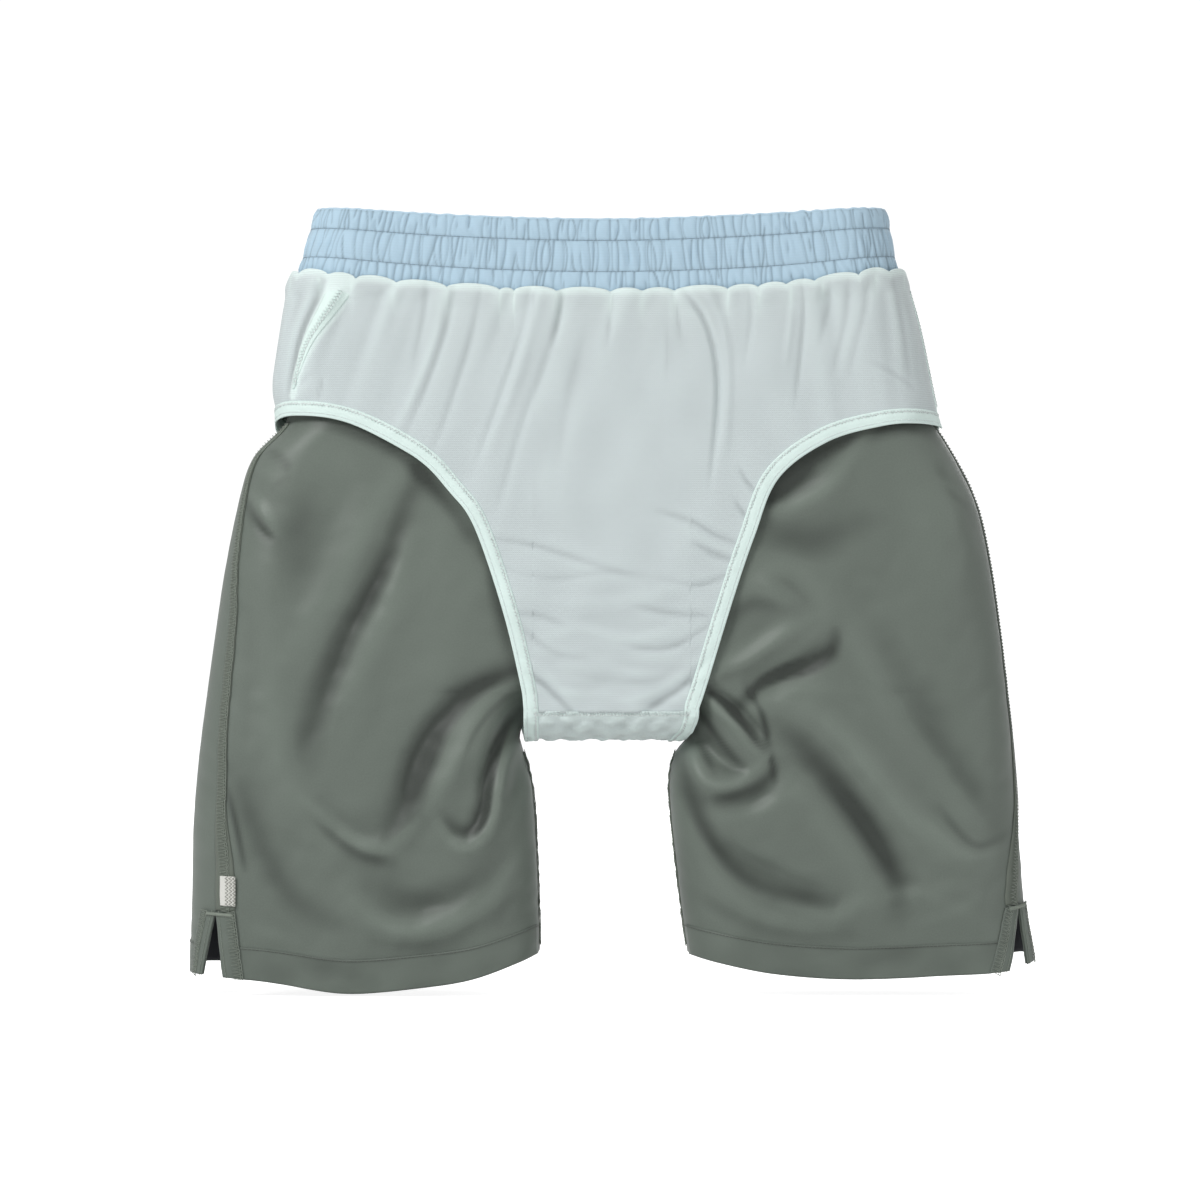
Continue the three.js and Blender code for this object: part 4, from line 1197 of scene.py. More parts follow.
class ShortsSizes(bpy.types.PropertyGroup):
    """Sizes of the stitching and the gathers."""
    stitch: bpy.props.FloatProperty(
        name="Stitch Pitch", description="Length of one lockstitch", default=0.0024, min=0.001,
        unit="LENGTH")
    overlock: bpy.props.FloatProperty(
        name="Overlock Pitch", description="Step of the overlock stitch", default=0.0022, min=0.001,
        unit="LENGTH")
    thread: bpy.props.FloatProperty(
        name="Thread Radius", description="Half the thickness of the sewing thread", default=0.00020,
        min=0.00005, unit="LENGTH", precision=5)
    gather: bpy.props.FloatProperty(
        name="Gather Height", description="How far the band's gathers stand out, as a share of the usual",
        default=1.0, min=0.0, max=1.4, subtype="FACTOR")
    binding: bpy.props.FloatProperty(
        name="Binding Width", description="Width of the tape round the leg openings", default=0.0095,
        min=0.005, unit="LENGTH")
    seam: bpy.props.FloatProperty(
        name="Seam Width", description="Width of the overlocked seam allowances", default=0.007,
        min=0.004, unit="LENGTH")
    hem: bpy.props.FloatProperty(
        name="Hem Height", description="Height of the turned-up hems", default=0.021, min=0.01,
        unit="LENGTH")


def colour_property(name, description, default):
    """A colour that the panel shows."""
    return bpy.props.FloatVectorProperty(name=name, description=description, default=default, min=0, max=1,
                                         size=3, subtype="COLOR")


class ShortsColours(bpy.types.PropertyGroup):
    """Colours of the cloths and threads."""
    band: colour_property("Band", "Light blue poplin of the waistband", linear(183, 210, 227))
    liner: colour_property("Liner", "Mesh of the brief liner", linear(206, 216, 217))
    liner_edge: colour_property("Liner Edge", "Bright edge and thread of the liner", linear(232, 247, 244))
    binding: colour_property("Binding", "Knit tape round the leg openings", linear(230, 248, 243))
    shell: colour_property("Shell Inside", "Wrong side of the satin, which shows", linear(109, 118, 110))
    shell_face: colour_property("Shell Face", "Face side of the shell, turned inwards", linear(60, 62, 68))
    seam_thread: colour_property("Seam Thread", "Overlock thread of the shell", linear(116, 124, 114))
    label: colour_property("Label", "Small woven label", linear(226, 226, 220))
    label_thread: colour_property("Label Thread", "Zigzag that holds the label", linear(126, 128, 115))


def units():
    """The stitch units, made once; they lie outside the scene's collections."""
    radius = bpy.context.scene.shorts_sizes.thread / MM
    half = bpy.context.scene.shorts_sizes.overlock / MM / 2
    shapes = {
        "lockstitch": ([[(-1.0, 0, -0.1), (-0.8, 0, 0.16), (0.8, 0, 0.16), (1.0, 0, -0.1)]], radius),
        "overlock": ([
            [(-half, -3.1, 0.1), (-0.3 * half, -0.4, 0.34), (0, 3.0, 0.3), (0.5 * half, -0.8, 0.3),
             (half, -3.1, 0.1)],
            [(-half, -3.1, 0.14), (0, -3.35, 0.3), (half, -3.1, 0.14)],
            [(-0.9 * half, -2.0, 0.1), (0.9 * half, -2.0, 0.34)],
        ], radius * 1.2),
        "narrow_overlock": ([
            [(-half, -1.6, 0.1), (0, 1.5, 0.34), (half, -1.6, 0.1)],
            [(-half, -1.6, 0.1), (0, -1.8, 0.3), (half, -1.6, 0.1)],
        ], radius * 1.15),
        "zigzag": ([[(-1.1, -1.0, 0.05), (0, 1.0, 0.25), (1.1, -1.0, 0.05)]], radius),
        "tack": ([[(-0.3, -1.1, 0.05), (-0.1, 0, 0.4), (0, 1.1, 0.1)],
                  [(0, 1.1, 0.1), (0.15, 0, 0.4), (0.3, -1.1, 0.05)]], radius * 1.3),
    }
    found = {}
    for name, (paths, thick) in shapes.items():
        label = "stitch_" + name
        found[name] = bpy.data.objects.get(label) or thread_unit(label, paths, thick)
    return found


def sew(name, skins, unit, pitch, material, seed):
    """Rows of one stitch along the lines that skin functions of lift give; lift is off the cloth in mm."""
    return sewn_rows(name, [outs_along(skin) for skin in skins], units()[unit], pitch, material, seed)


class ShortsOperator:
    """What the operators share."""
    bl_options = {"REGISTER", "UNDO"}


# ---------------------------------------------------------------- the pieces

def band_levels():
    """Shares of the casing's height for its outer rows, closer together by the stitch rows."""
    ends = [0.0, *STITCH_ROWS, 1.0]
    parts = np.array([0.0, 0.05, 0.13, 0.30, 0.50, 0.70, 0.87, 0.95])
    return np.concatenate([*(a + (b - a) * parts for a, b in zip(ends, ends[1:])), [0.9999]])


def band_column(ways, levels):
    """Section of the casing from its lower edge, up the outside, over the fold and down the inside."""
    strength = bpy.context.scene.shorts_sizes.gather
    fold = np.linspace(0, math.pi, 7)[1:-1]
    inner = np.linspace(1, 0.02, 7)
    sheet = [band_skin(ways, np.full_like(ways, u), gathers=strength * float(ease(u, 0, 0.13)))
             for u in levels]
    last, out = band_base(ways, np.ones_like(ways))
    top_push = strength * gather_height(ways, np.full_like(ways, 0.999))
    rise = strength * rim_wave(ways)
    for angle in fold:
        across = (1.65 * (math.cos(angle) - 1)) + top_push * (1 + math.cos(angle)) / 2
        point = last + out * across[:, None]
        point[:, 2] += 1.3 * math.sin(angle) + rise
        sheet.append(point)
    for u in inner:
        at, out = band_base(ways, np.full_like(ways, u))
        back = 0.5 * strength * gather_height(ways, np.clip(np.full_like(ways, u), 0, 0.999), seed=7)
        point = at + out * (-3.3 - np.clip(back, 0, 1.2))[:, None]
        point[:, 2] += rise * ease(u, 0.8, 1.0)
        sheet.append(point)
    return np.stack(sheet)


class SHORTS_OT_waistband(ShortsOperator, bpy.types.Operator):
    """Gathered casing with two rows of stitching, and the elastic inside it"""
    bl_idname = "shorts.waistband"
    bl_label = "Waistband"

    def execute(self, context):
        look = finishes()
        columns = 1300
        ways = np.arange(columns) / columns
        levels = band_levels()
        points = band_column(ways, levels)
        _, out = band_base(ways, np.full_like(ways, 0.5))
        rows = np.arange(len(points)) * 1.0
        uv = np.stack(np.broadcast_arrays(band_round(ways)[None, :] * 1.35, rows[:, None]), -1)
        casing = cloth("waistband_casing_cloth", points, np.broadcast_to(out, points.shape), 0.45,
                       [look["band"]], uv, closed=True)
        # painted shade in the band's creases and by its stitch rows, and a painted highlight on its puffs,
        # kept as the fold attribute
        painted_shading = np.zeros(points.shape[:2])
        painted_shading[:len(levels)] = [-0.8 * gather_height(ways, np.full_like(ways, u), crease_shade=True) for u in levels]
        mark(casing, "fold", painted_shading)
        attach(casing, "root")
        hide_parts("waistband_casing")
        ring = np.linspace(0, 1, 421)
        rows = [lambda lift, u=u: band_skin(ring, np.full_like(ring, u), lift=lift + 0.12,
                                            gathers=context.scene.shorts_sizes.gather) for u in STITCH_ROWS]
        thread = sew("waistband_stitching", rows, "lockstitch", context.scene.shorts_sizes.stitch / MM,
                     look["band_thread"], seed=3)
        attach(thread, "root")

        ways = np.arange(600) / 600
        heights = np.linspace(0.06, 0.97, 34)
        at = []
        for i, u in enumerate(heights):
            place, out = band_base(ways, np.full_like(ways, u))
            depth = -1.15 + 0.22 * (i % 2) + 0.12 * closed_noise(band_round(ways), 60, 200, 5)
            at.append(place + out * depth[:, None])
        at = np.stack(at)
        uv = np.stack(np.broadcast_arrays(band_round(ways)[None, :], heights[:, None] * 42), -1)
        elastic = cloth("waist_elastic_band", at, np.broadcast_to(out, at.shape), 1.1, [look["elastic"]], uv,
                        closed=True)
        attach(elastic, "root")
        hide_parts("waist_elastic")
        return {"FINISHED"}


def liner_top(q, face, foot):
    """Height of the liner's upper edge at one way round; it laps over the band in small scallops. foot
    is the place straight below it."""
    x = np.where(np.abs(q) < 150, q + CENTRE_X, foot[..., 0])
    dip = BACK_DIP * ease(foot[..., 1], -10, 30)
    return band_edge(x) - dip - 3.6 + 3.8 * scallop_rise(q, face)


def liner_grid(face, inset, columns, rows):
    """Places (way, height) over one liner panel between the openings' bindings, the gusset and the band."""
    left = opening_edge("left", face, inset, columns)
    right = opening_edge("right", face, inset, columns)
    foot = GUSSET_TOP - 1.0
    middle = np.linspace(left[0, 0], right[0, 0], 62)[1:-1]
    q = np.concatenate([left[::-1, 0], middle, right[:, 0]])
    low = np.concatenate([left[::-1, 1], np.full(len(middle), foot), right[:, 1]])
    low[columns - 1] = low[columns + len(middle)] = foot
    at, _ = liner_base(q, low, face)
    top = liner_top(q, face, at)
    share = np.linspace(0, 1, rows)[:, None]
    h = low[None] + (top - low)[None] * share
    widen = liner_reach(np.sign(q)[None], h)[2] / liner_reach(np.sign(q), low)[2][None] - 1
    return follow_outline(q[None], widen), h


# Bright strip down the left front of the liner, and the course and width of the side strip beside it.
LEFT_STRIP = [(-168, 456), (-177, 436), (-184.5, 424), (-192.5, 410), (-199, 395), (-203, 378)]
strip_course = smooth([(380, -203), (395, -199), (411, -192.5), (424, -184.5), (435, -177.5), (449, -169)])
strip_width = smooth([(380, 2), (395, 6), (411, 9), (424, 12), (435, 15), (449, 19)])
STRIP_ENDS = {"left": (382, 447), "right": (368, 450)}


def liner_panel(word, face, inset, look):
    """One mesh panel, bright along its upper edge and in the gathers below it."""
    q, h = liner_grid(face, inset, 150, 132)
    over = 1 - ease(h[-1:] - h, 4, 16)
    points = liner_skin(q, h, face, lift=over * 1.6)
    _, out = liner_base(q, h, face)
    uv = np.stack([q, h], -1)
    panel = cloth(f"liner_{word}_mesh", points, out, 0.5, [look["mesh"]], uv)
    # painted shade in the valleys of the liner's wrinkles and a painted highlight on their ridges, kept as
    # the fold attribute
    push = hollows(liner_push(q, h, face), 8)
    mark(panel, "fold", np.clip(push * 0.75, -1, 0.8))
    under = h[-1:] - h
    white = (1 - ease(under, 1.0, 7.0)) * 0.85
    streak = (1 - scallop_rise(q, face)) ** 1.5 * (1 - ease(under, 3, 26))
    if face > 0:
        near, share, _ = path_distance(spline(LEFT_STRIP, 14), q + CENTRE_X, h)
        streak = np.maximum(streak, 0.9 * (1 - ease(near, 7 - 5 * share, 12 - 8 * share)))
    mark(panel, "edge", np.maximum(white, streak))
    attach(panel, "root")
    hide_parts(f"liner_panel_{word}")
    return panel


def liner_gusset(inset, sizes, look):
    """The gusset under the crotch, and the overlock rows that join it to the panels."""
    share = np.linspace(0, 1, 60)[None]
    turn = np.linspace(0, math.pi, 70)[:, None]
    low = inset - gusset_half("left", turn)
    high = gusset_half("right", turn) - inset
    x = low + (high - low) * share
    turns = turn + 0 * x
    points = gusset_skin(x, turns)
    out = gusset_skin(x, turns, lift=1.0) - points
    run = turns * GUSSET_BEND
    gusset = cloth("gusset_cloth", points, out, 0.8, [look["mesh"]], np.stack([x, run], -1))
    mark(gusset, "edge", 0.5 + 0.5 * np.exp(-(run / 6.0) ** 2))
    # painted shade and painted highlight over the gusset's wrinkles, kept as the fold attribute
    mark(gusset, "fold", np.clip(0.6 * ripples(x, run, 13, 31), -1, 1))
    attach(gusset, "root")
    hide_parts("liner_gusset")
    rows = []
    for angle, end in ((0.05, 0), (math.pi - 0.05, -1)):
        xs = np.linspace(low[end, 0], high[end, 0], 60)
        rows.append(lambda lift, a=angle, xs=xs: gusset_skin(xs, np.full_like(xs, a), lift=lift + 0.25))
    thread = sew("gusset_stitching", rows, "narrow_overlock", sizes.overlock / MM, look["white_thread"],
                 seed=15)
    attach(thread, "root")


def liner_side(name, sizes, look):
    """One overlocked side strip of the liner: the strip and its thread."""
    h = np.linspace(*STRIP_ENDS[name], 70)[:, None]
    across = np.linspace(-0.5, 0.5, 11)[None]
    swell = np.sin(np.linspace(0.12, math.pi - 0.12, 70))[:, None] ** 0.3
    if name == "left":
        q = strip_course(h) - CENTRE_X + across * strip_width(h)
    else:
        q = liner_reach(1, h)[2] - 1 + across * sizes.seam / MM
    curl = (0.35 - 1.4 * across ** 2) * swell
    points = liner_skin(q, h + 0 * q, 1, lift=0.25 + curl)
    _, out = liner_base(q, h + 0 * q, 1)
    strip = cloth(f"liner_side_{name}", points, out, 0.5, [look["tape"]],
                  np.stack(np.broadcast_arrays(across * 9, h), -1))
    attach(strip, "root")
    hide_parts(f"liner_side_seam_{name}")
    line, line_h = q[4:-4, 5], h[4:-4, 0]
    thread = sew(f"liner_side_stitching_{name}", [lambda lift: liner_skin(line, line_h, 1, lift=0.75 + lift)],
                 "narrow_overlock", sizes.overlock / MM, look["white_thread"], seed=17)
    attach(thread, "root")
    return [strip, thread]


class SHORTS_OT_liner(ShortsOperator, bpy.types.Operator):
    """Mesh brief liner: front and back panels, gusset and side seams"""
    bl_idname = "shorts.liner"
    bl_label = "Liner"

    def execute(self, context):
        look = finishes()
        sizes = context.scene.shorts_sizes
        inset = sizes.binding / MM * UNDER_TAPE
        panels = {word: liner_panel(word, face, inset, look) for word, face in FACES}
        liner_gusset(inset, sizes, look)
        sides = [piece for name in SIDES for piece in liner_side(name, sizes, look)]
        return {"FINISHED"}


class SHORTS_OT_bindings(ShortsOperator, bpy.types.Operator):
    """Folded knit tape round each leg opening of the liner, with its zigzag cover stitch"""
    bl_idname = "shorts.bindings"
    bl_label = "Leg Bindings"

    def execute(self, context):
        look = finishes()
        sizes = context.scene.shorts_sizes
        width = sizes.binding / MM
        for name, side in SIDES.items():
            fronts = [opening_edge(name, 1, inset, 150) for inset in (0.0, width)]
            backs = [opening_edge(name, -1, inset, 150)[::-1][1:] for inset in (0.0, width)]
            turns = np.linspace(math.pi, 0, 42)[1:-1]

            def ring(share, lift):
                """Once round the opening, at a share of the tape's width and a lift off the liner."""
                front = fronts[0] + (fronts[1] - fronts[0]) * share
                back = backs[0] + (backs[1] - backs[0]) * share
                foot = gusset_half(name, turns) - width * share
                ends = np.cumsum([len(front), len(back)])
                lifts = np.split(np.broadcast_to(lift, len(front) + len(back) + len(turns)), ends)
                return np.concatenate([
                    liner_skin(front[:, 0], front[:, 1], 1, lifts[0]),
                    liner_skin(back[:, 0], back[:, 1], -1, lifts[1]),
                    gusset_skin(side.sign * foot, turns, lifts[2])])

            count = len(ring(0, 0))
            pucker = 0.18 * np.sin(np.arange(count) * 2.3) + 0.12 * np.sin(np.arange(count) * 0.7)
            shares = [0.0, 0.02, 0.10, 0.24, 0.38, 0.52, 0.66, 0.80, 0.92, 0.99]
            tops = [0.0, 0.55, 0.85, 0.62, 0.95, 1.05, 0.95, 0.62, 0.85, 0.25]
            section = [ring(s, t + pucker * (0.3 < s < 0.95)) for s, t in zip(shares, tops)]
            section += [ring(s, -b) for s, b in ((0.97, 0.55), (0.7, 0.75), (0.35, 0.75), (0.05, 0.6))]
            section = np.stack(section, 1)
            steps = np.linalg.norm(np.diff(section[:, 0], axis=0), axis=1)
            around = np.concatenate([[0], np.cumsum(steps)])
            run = np.linspace(0, 22, section.shape[1])
            uv = np.stack(np.broadcast_arrays(run[None, :], around[:, None]), -1)
            tape = swept(f"leg_binding_tape_{name}", section, look["tape"], uv)
            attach(tape, "root")
            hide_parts(f"leg_binding_{name}")
            rows = [lambda lift, s=s: ring(s, 0.72 + lift) for s in (0.24, 0.80)]
            lock = sew(f"leg_binding_rows_{name}", rows, "lockstitch", sizes.stitch / MM,
                       look["white_thread"], seed=21)
            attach(lock, "root")
            cover = sew(f"leg_binding_cover_{name}", [lambda lift: ring(0.80, 0.75 + lift)], "zigzag",
                        sizes.overlock / MM, look["white_thread"], seed=23)
            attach(cover, "root")
        return {"FINISHED"}


def shell_heights():
    """Rows of a shell panel: even, closer over the crotch arch."""
    low = np.linspace(0, CROTCH_H, 78)[:-1]
    arch = CROTCH_H + ARCH * np.sin(np.linspace(0, math.pi / 2, 26))
    high = np.linspace(CROTCH_H + ARCH, 440, 88)[1:]
    return np.concatenate([low, arch, high])


def swing(obj):
    """Bakes the piece's placement into its mesh."""
    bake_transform(obj)


def trims(name, word):
    """Narrow strips and threads sewn to one panel of the shell."""
    if word == "front":
        found = [f"side_seam_cloth_{name}", f"side_seam_overlock_{name}", f"bar_tack_thread_{name}"]
        if name == "left":
            found += ["rise_seam_cloth_front", "woven_label_cloth", "woven_label_zigzag"]
    else:
        found = [f"inseam_cloth_{name}", f"inseam_overlock_{name}"]
        if name == "left":
            found.append("rise_seam_cloth_back")
    return found


class SHORTS_OT_shell(ShortsOperator, bpy.types.Operator):
    """Satin shell: front and back of each leg, with its folds"""
    bl_idname = "shorts.shell"
    bl_label = "Shell"

    def execute(self, context):
        look = finishes()
        h = shell_heights()[:, None]
        share = np.linspace(0, 1, 132)[None]
        share = share + 0.10 * np.sin(math.pi * share) * share  # columns lie closer by the inner edge
        for name, side in SIDES.items():
            for word, face in FACES:
                start = side.seam_way(h, face) + face * 0.1
                end = face * side.inner_way(h)
                s = start + (end - start) * share
                hh = h + 0 * s
                points = shell_skin(side, hh, s)
                base, out = shell_base(side, hh, s)
                panel = cloth(f"shell_{word}_{name}_cloth", points, out, 0.7, [look["satin"], look["face"]],
                              np.stack([s, hh], -1))
                # painted shade in the valleys of the shell's folds and a painted highlight on their ridges,
                # and on the front the painted sheen strokes of FRONT_SHEEN, kept as the fold attribute
                stand = ((points - base) * out).sum(-1)
                painted_shading = 0.12 * hollows(stand, 40)
                if face > 0:
                    sheen = fold_field(FRONT_SHEEN, points[..., 0], points[..., 2], 0.4)
                    painted_shading += sheen * np.clip(-out[..., 1], 0, 1)
                mark(panel, "fold", np.clip(painted_shading, -1, 0.9))
                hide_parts(*(f"shell_{word}_{name}_{part}" for part in ("upper", "fold", "lower")))
                swing(panel)
                trims(name, word)
        return {"FINISHED"}


def shell_strip(side, heights, ways, lift, thick, name, material, curl=0.0):
    """A strip of cloth lying on the shell. ways has a row for each height."""
    h = heights[:, None] + 0 * ways
    bend = curl * np.sin(np.linspace(0, math.pi, ways.shape[1]))[None]
    points = shell_skin(side, h, ways, lift=lift + thick + bend)
    _, out = shell_base(side, h, ways)
    return cloth(name, points, out, thick, [material], np.stack([ways, h], -1))


def side_seam(name, side, sizes, look):
    """Overlocked side seam, wider above the slit."""
    h = np.linspace(SLIT_H + 0.5, 360, 205)
    start = side.seam_way(h, 1)[:, None]
    flare = 1 + 0.9 * (1 - ease(h, 60, 122))[:, None]
    ways = start - 0.4 + np.linspace(0, sizes.seam / MM, 8)[None] * flare
    strip = shell_strip(side, h, ways, 0.12, 0.6, f"side_seam_cloth_{name}", look["overlock"], 0.35)
    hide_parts(*(f"side_seam_{name}_{part}" for part in ("upper", "fold", "lower")))
    swing(strip)
    middle = ways.mean(axis=1)
    thread = sew(f"side_seam_overlock_{name}", [lambda lift: shell_skin(side, h, middle, lift=1.1 + lift)],
                 "overlock", sizes.overlock / MM, look["seam_thread"], seed=31)
    swing(thread)


def inseam(name, side, sizes, look):
    """Overlocked inseam, standing off the inner edge of the leg."""
    wide = sizes.seam / MM
    h = np.linspace(4, 150, 100)
    edge = shell_skin(side, h, side.inner_way(h))
    x, up = edge[:, 0] + side.sign * 0.6, edge[:, 2] - h
    y = np.linspace(-wide / 2, wide / 2, 8)
    wave = 0.25 * ripples(h[:, None], y[None], 8, 33)
    points = np.stack([x[:, None] - side.sign * (0.9 + wave), y[None] + 0 * wave,
                       (h + up)[:, None] + 0 * wave], -1)
    out = np.zeros_like(points)
    out[..., 0] = -side.sign
    seam = cloth(f"inseam_cloth_{name}", points, out, 0.7, [look["overlock"]],
                 np.stack(np.broadcast_arrays(y[None], h[:, None]), -1))
    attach(seam, f"leg_{name}")
    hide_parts(f"inseam_{name}")
    line = points[:, 4]
    thread = sew(f"inseam_overlock_{name}", [lambda lift: line - np.array([side.sign * (0.1 + lift), 0, 0])],
                 "overlock", sizes.overlock / MM, look["seam_thread"], seed=35)
    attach(thread, f"leg_{name}")


def rise_seam(word, y_sign, sizes, look):
    """Centre seam from the crotch to the band, at the front or the back."""
    wide = sizes.seam / MM
    h = np.linspace(226, 438, 80)
    x = np.linspace(-wide / 2, wide / 2, 8)
    y = y_sign * (half_depth(h) + 0.9)
    points = np.stack(np.broadcast_arrays(CENTRE_X + x[None], y[:, None], h[:, None]), -1).copy()
    out = np.zeros_like(points)
    out[..., 1] = y_sign
    seam = cloth(f"rise_seam_cloth_{word}", points, out, 0.6, [look["overlock"]],
                 np.stack(np.broadcast_arrays(x[None], h[:, None]), -1))
    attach(seam, "root")
    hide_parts(f"rise_seam_{word}")


class SHORTS_OT_seams(ShortsOperator, bpy.types.Operator):
    """Overlocked side seams, inseams and rise seams"""
    bl_idname = "shorts.seams"
    bl_label = "Seams"

    def execute(self, context):
        look = finishes()
        sizes = context.scene.shorts_sizes
        for name, side in SIDES.items():
            side_seam(name, side, sizes, look)
            inseam(name, side, sizes, look)
        for word, face in FACES:
            rise_seam(word, -face, sizes, look)
        return {"FINISHED"}


FACING = 13.0  # width of the slit facings


def turned_hem(name, word, face, sizes, look):
    """Turned-up hem of one panel, with its row of stitches near the top."""
    side = SIDES[name]
    tall = sizes.hem / MM
    h = np.linspace(-0.6, tall, 16)
    level = np.maximum(h, 0)
    start = (side.seam_way(level, face) + face * (FACING - 1.0))[:, None]
    end = (face * (side.inner_way(level) - 1.5))[:, None]
    ways = start + (end - start) * np.linspace(0, 1, 150)[None]
    lifts = 0.10 + 0.10 * ripples(ways, h[:, None] * 0.5, 24, 41) ** 2
    hem = shell_strip(side, h, ways, lifts, 0.45, f"hem_cloth_{word}_{name}", look["hem"])
    shade = 0.35 * np.exp(-((h[:, None] - tall + 1.2) / 0.8) ** 2)
    mark(hem, "fold", np.clip(0.2 * ripples(ways, h[:, None], 30, 42) - shade, -1, 1))
    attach(hem, f"leg_{name}")
    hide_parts(f"hem_{word}_{name}")
    row_h = np.full(150, tall - 1.1)
    row = ways[14]
    thread = sew(f"hem_stitching_{word}_{name}",
                 [lambda lift: shell_skin(side, row_h, row, lift=0.55 + lift)], "lockstitch",
                 sizes.stitch / MM, look["hem_thread"], seed=43)
    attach(thread, f"leg_{name}")


def slit_facing(name, word, face, sizes, look):
    """Facing along one edge of the slit, with its overlocked edge and its row of stitches."""
    side = SIDES[name]
    h = np.linspace(-0.4, SLIT_H - 0.8, 34)
    start = (side.seam_way(np.maximum(h, 0), face) + face * 0.1)[:, None]
    ways = start + face * np.linspace(0, FACING, 12)[None]
    strip = shell_strip(side, h, ways, 0.45, 0.7, f"slit_facing_{word}_{name}", look["hem"], 0.25)
    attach(strip, f"leg_{name}")
    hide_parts(f"vent_facing_{word}_{name}")
    outer, inner = ways[:, 8], ways[:, 2]
    thread = sew(f"slit_overlock_{word}_{name}", [lambda lift: shell_skin(side, h, outer, lift=1.3 + lift)],
                 "overlock", sizes.overlock / MM, look["seam_thread"], seed=45)
    row = sew(f"slit_stitching_{word}_{name}", [lambda lift: shell_skin(side, h, inner, lift=1.35 + lift)],
              "lockstitch", sizes.stitch / MM, look["seam_thread"], seed=46)
    for piece in (thread, row):
        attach(piece, f"leg_{name}")


def bar_tack(name, look):
    """Tight row of thread across the top of the slit."""
    side = SIDES[name]
    h = np.full(60, SLIT_H - 2.2)
    back = float(side.seam_way(SLIT_H, -1)) - 6
    front = float(side.seam_way(SLIT_H, 1)) + FACING - 2
    ways = np.linspace(back, front, 60)
    tack = sew(f"bar_tack_thread_{name}", [lambda lift: shell_skin(side, h, ways, lift=1.75 + lift)],
               "tack", 0.55, look["seam_thread"], seed=47)
    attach(tack, f"leg_{name}")
    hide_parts(f"bar_tack_{name}")


class SHORTS_OT_hems(ShortsOperator, bpy.types.Operator):
    """Turned-up hems, slit facings and bar tacks"""
    bl_idname = "shorts.hems"
    bl_label = "Hems and Slits"

    def execute(self, context):
        look = finishes()
        sizes = context.scene.shorts_sizes
        for name in SIDES:
            for word, face in FACES:
                turned_hem(name, word, face, sizes, look)
                slit_facing(name, word, face, sizes, look)
            bar_tack(name, look)
        return {"FINISHED"}


class SHORTS_OT_label(ShortsOperator, bpy.types.Operator):
    """Small woven label caught in the left side seam, with its zigzag"""
    bl_idname = "shorts.label"
    bl_label = "Label"

    def execute(self, context):
        look = finishes()
        side = LEFT
        h = np.linspace(48, 68, 30)
        start = side.seam_way(h, 1)[:, None] + 3.5
        ways = start + np.linspace(0, 10.0, 14)[None]
        label = shell_strip(side, h, ways, 1.35, 0.45, "woven_label_cloth", look["label"], 0.2)
        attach(label, "leg_left")
        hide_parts("woven_label")
        rows = []
        for column in (6, 9, 12):
            line = ways[2:-2, column]
            rows.append(lambda lift, line=line: shell_skin(side, h[2:-2], line, lift=1.95 + lift))
        zigzag = sew("woven_label_zigzag", rows, "zigzag", 2.2, look["khaki_thread"], seed=51)
        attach(zigzag, "leg_left")
        return {"FINISHED"}


# ---------------------------------------------------------------- stage

def soft_light(name, place, target, size, power):
    """A white area light aimed at a place."""
    lamp = bpy.data.lights.new(name, "AREA")
    lamp.shape = "RECTANGLE"
    lamp.size, lamp.size_y = size
    lamp.energy = power
    obj = bpy.data.objects.new(name, lamp)
    obj.location = place
    obj.rotation_euler = (Vector(target) - Vector(place)).to_track_quat("-Z", "Y").to_euler()
    bpy.context.scene.collection.objects.link(obj)


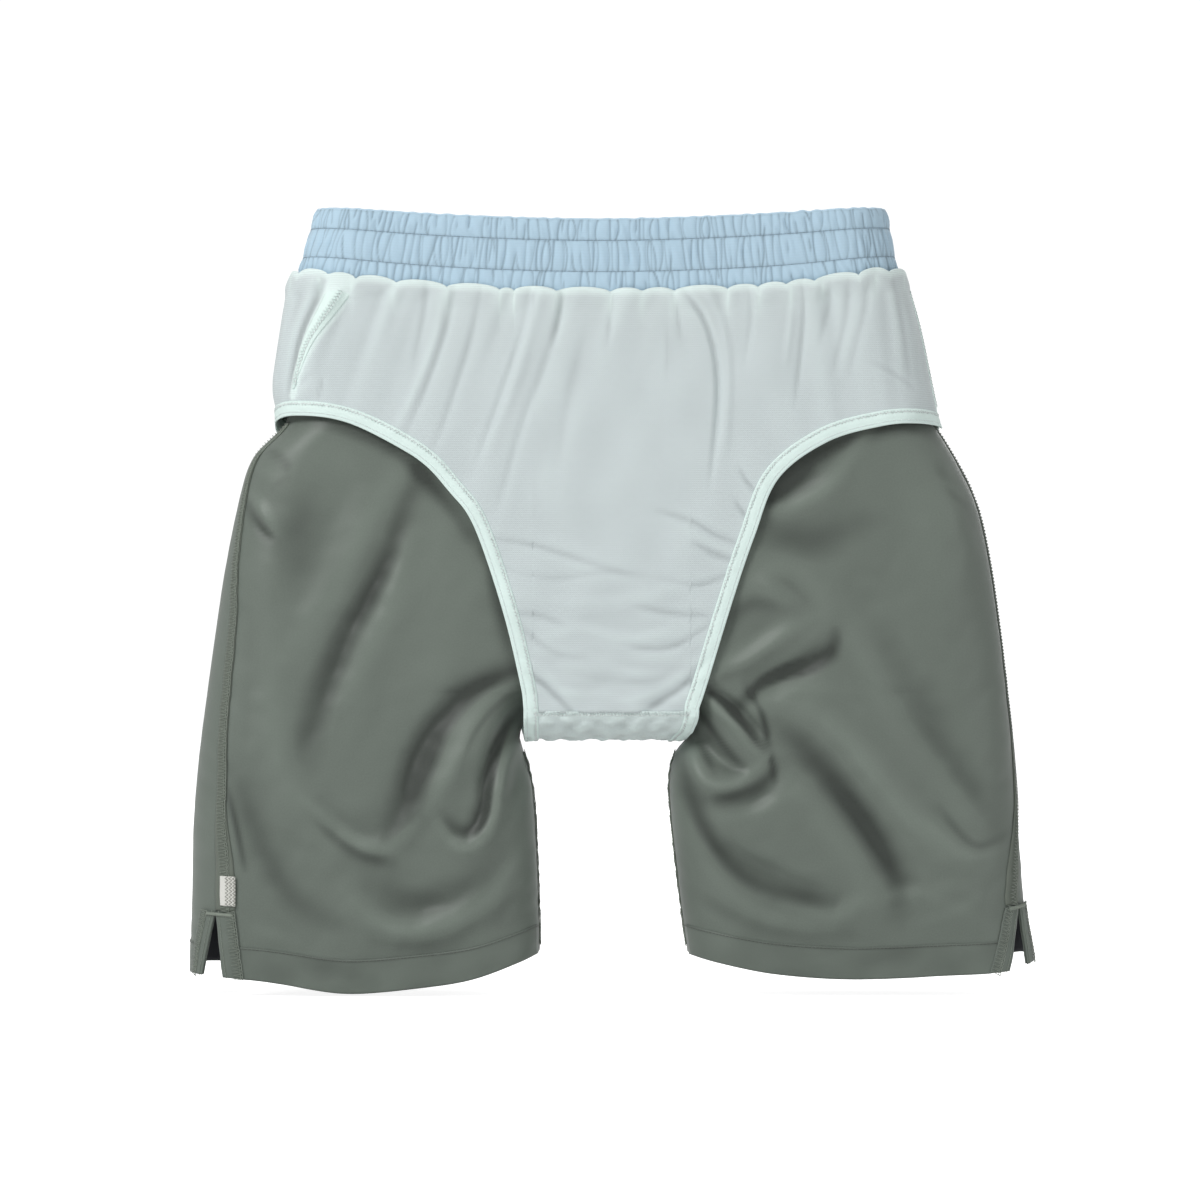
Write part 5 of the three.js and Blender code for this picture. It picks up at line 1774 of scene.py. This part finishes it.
class SHORTS_OT_stage(ShortsOperator, bpy.types.Operator):
    """Pale floor, soft lights and the camera"""
    bl_idname = "shorts.stage"
    bl_label = "Stage"

    def execute(self, context):
        scene = context.scene
        floor_z = CAD_BOX[0][2] - 0.003
        angles = np.linspace(0, 2 * math.pi, 64, endpoint=False)
        ring = [(6 * math.cos(a), 6 * math.sin(a), floor_z) for a in angles]
        mesh = bpy.data.meshes.new("floor")
        mesh.from_pydata(ring, [], [list(range(64))])
        floor = new_object("floor", mesh)
        paint = bpy.data.materials.new("floor_paint")
        paint.use_nodes = True
        tree = paint.node_tree
        shader = tree.nodes["Principled BSDF"]
        shader.inputs["Base Color"].default_value = (0.86, 0.86, 0.86, 1)
        shader.inputs["Roughness"].default_value = 0.9
        rays = tree.nodes.new("ShaderNodeLightPath")
        glow = sums(tree, "MULTIPLY", rays.outputs["Is Camera Ray"], 0.85)
        shader.inputs["Emission Color"].default_value = (1, 1, 1, 1)
        tree.links.new(glow, shader.inputs["Emission Strength"])
        mesh.materials.append(paint)

        world = bpy.data.worlds.new("studio")
        world.use_nodes = True
        tree = world.node_tree
        sky = tree.nodes["Background"]
        sky.inputs["Color"].default_value = (1, 1, 1, 1)
        rays = tree.nodes.new("ShaderNodeLightPath")
        tree.links.new(sums(tree, "MULTIPLY_ADD", rays.outputs["Is Camera Ray"], 0.72, 0.34),
                       sky.inputs["Strength"])
        scene.world = world
        scene.view_settings.view_transform = "Standard"

        middle = (0, 0, -0.22)
        soft_light("key", (-1.5, -1.6, 1.3), middle, (0.9, 0.9), 36)
        soft_light("fill", (1.9, -1.6, 0.2), middle, (1.6, 1.6), 8)
        soft_light("top", (0.2, 0.3, 1.8), middle, (1.6, 1.6), 14)
        soft_light("back", (0.4, 2.2, 0.6), middle, (1.6, 1.6), 16)

        lens = bpy.data.cameras.new("camera")
        lens.lens = 135
        lens.sensor_width = 36
        lens.clip_end = 50
        camera = bpy.data.objects.new("camera", lens)
        camera.location = (-0.00168, -2.88, -0.2217)
        camera.rotation_euler = (math.pi / 2, 0, 0)
        scene.collection.objects.link(camera)
        scene.camera = camera
        return {"FINISHED"}


class SHORTS_PT_panel(bpy.types.Panel):
    """Everything the shorts are made of, in the order of making."""
    bl_idname = "SHORTS_PT_panel"
    bl_label = "Lined Swim Shorts"
    bl_space_type = "VIEW_3D"
    bl_region_type = "UI"
    bl_category = "Shorts"

    def draw(self, context):
        layout = self.layout
        for group in (context.scene.shorts_sizes, context.scene.shorts_colours):
            box = layout.box()
            for name in group.__annotations__:
                box.prop(group, name)
        for operator in OPERATORS:
            layout.operator(operator.bl_idname)


OPERATORS = (
    SHORTS_OT_stage,
    SHORTS_OT_waistband,
    SHORTS_OT_liner,
    SHORTS_OT_bindings,
    SHORTS_OT_seams,
    SHORTS_OT_hems,
    SHORTS_OT_label,
    SHORTS_OT_shell,
)
CLASSES = (ShortsSizes, ShortsColours, *OPERATORS, SHORTS_PT_panel)


def register():
    for item in CLASSES:
        bpy.utils.register_class(item)
    bpy.types.Scene.shorts_sizes = bpy.props.PointerProperty(type=ShortsSizes)
    bpy.types.Scene.shorts_colours = bpy.props.PointerProperty(type=ShortsColours)


def unregister():
    del bpy.types.Scene.shorts_colours
    del bpy.types.Scene.shorts_sizes
    for item in reversed(CLASSES):
        bpy.utils.unregister_class(item)


def main():
    register()
    for operator in OPERATORS:
        package, name = operator.bl_idname.split(".")
        result = getattr(getattr(bpy.ops, package), name)()
        if result != {"FINISHED"}:
            raise RuntimeError(f"{operator.bl_label} did not finish")


if __name__ == "__main__":
    main()
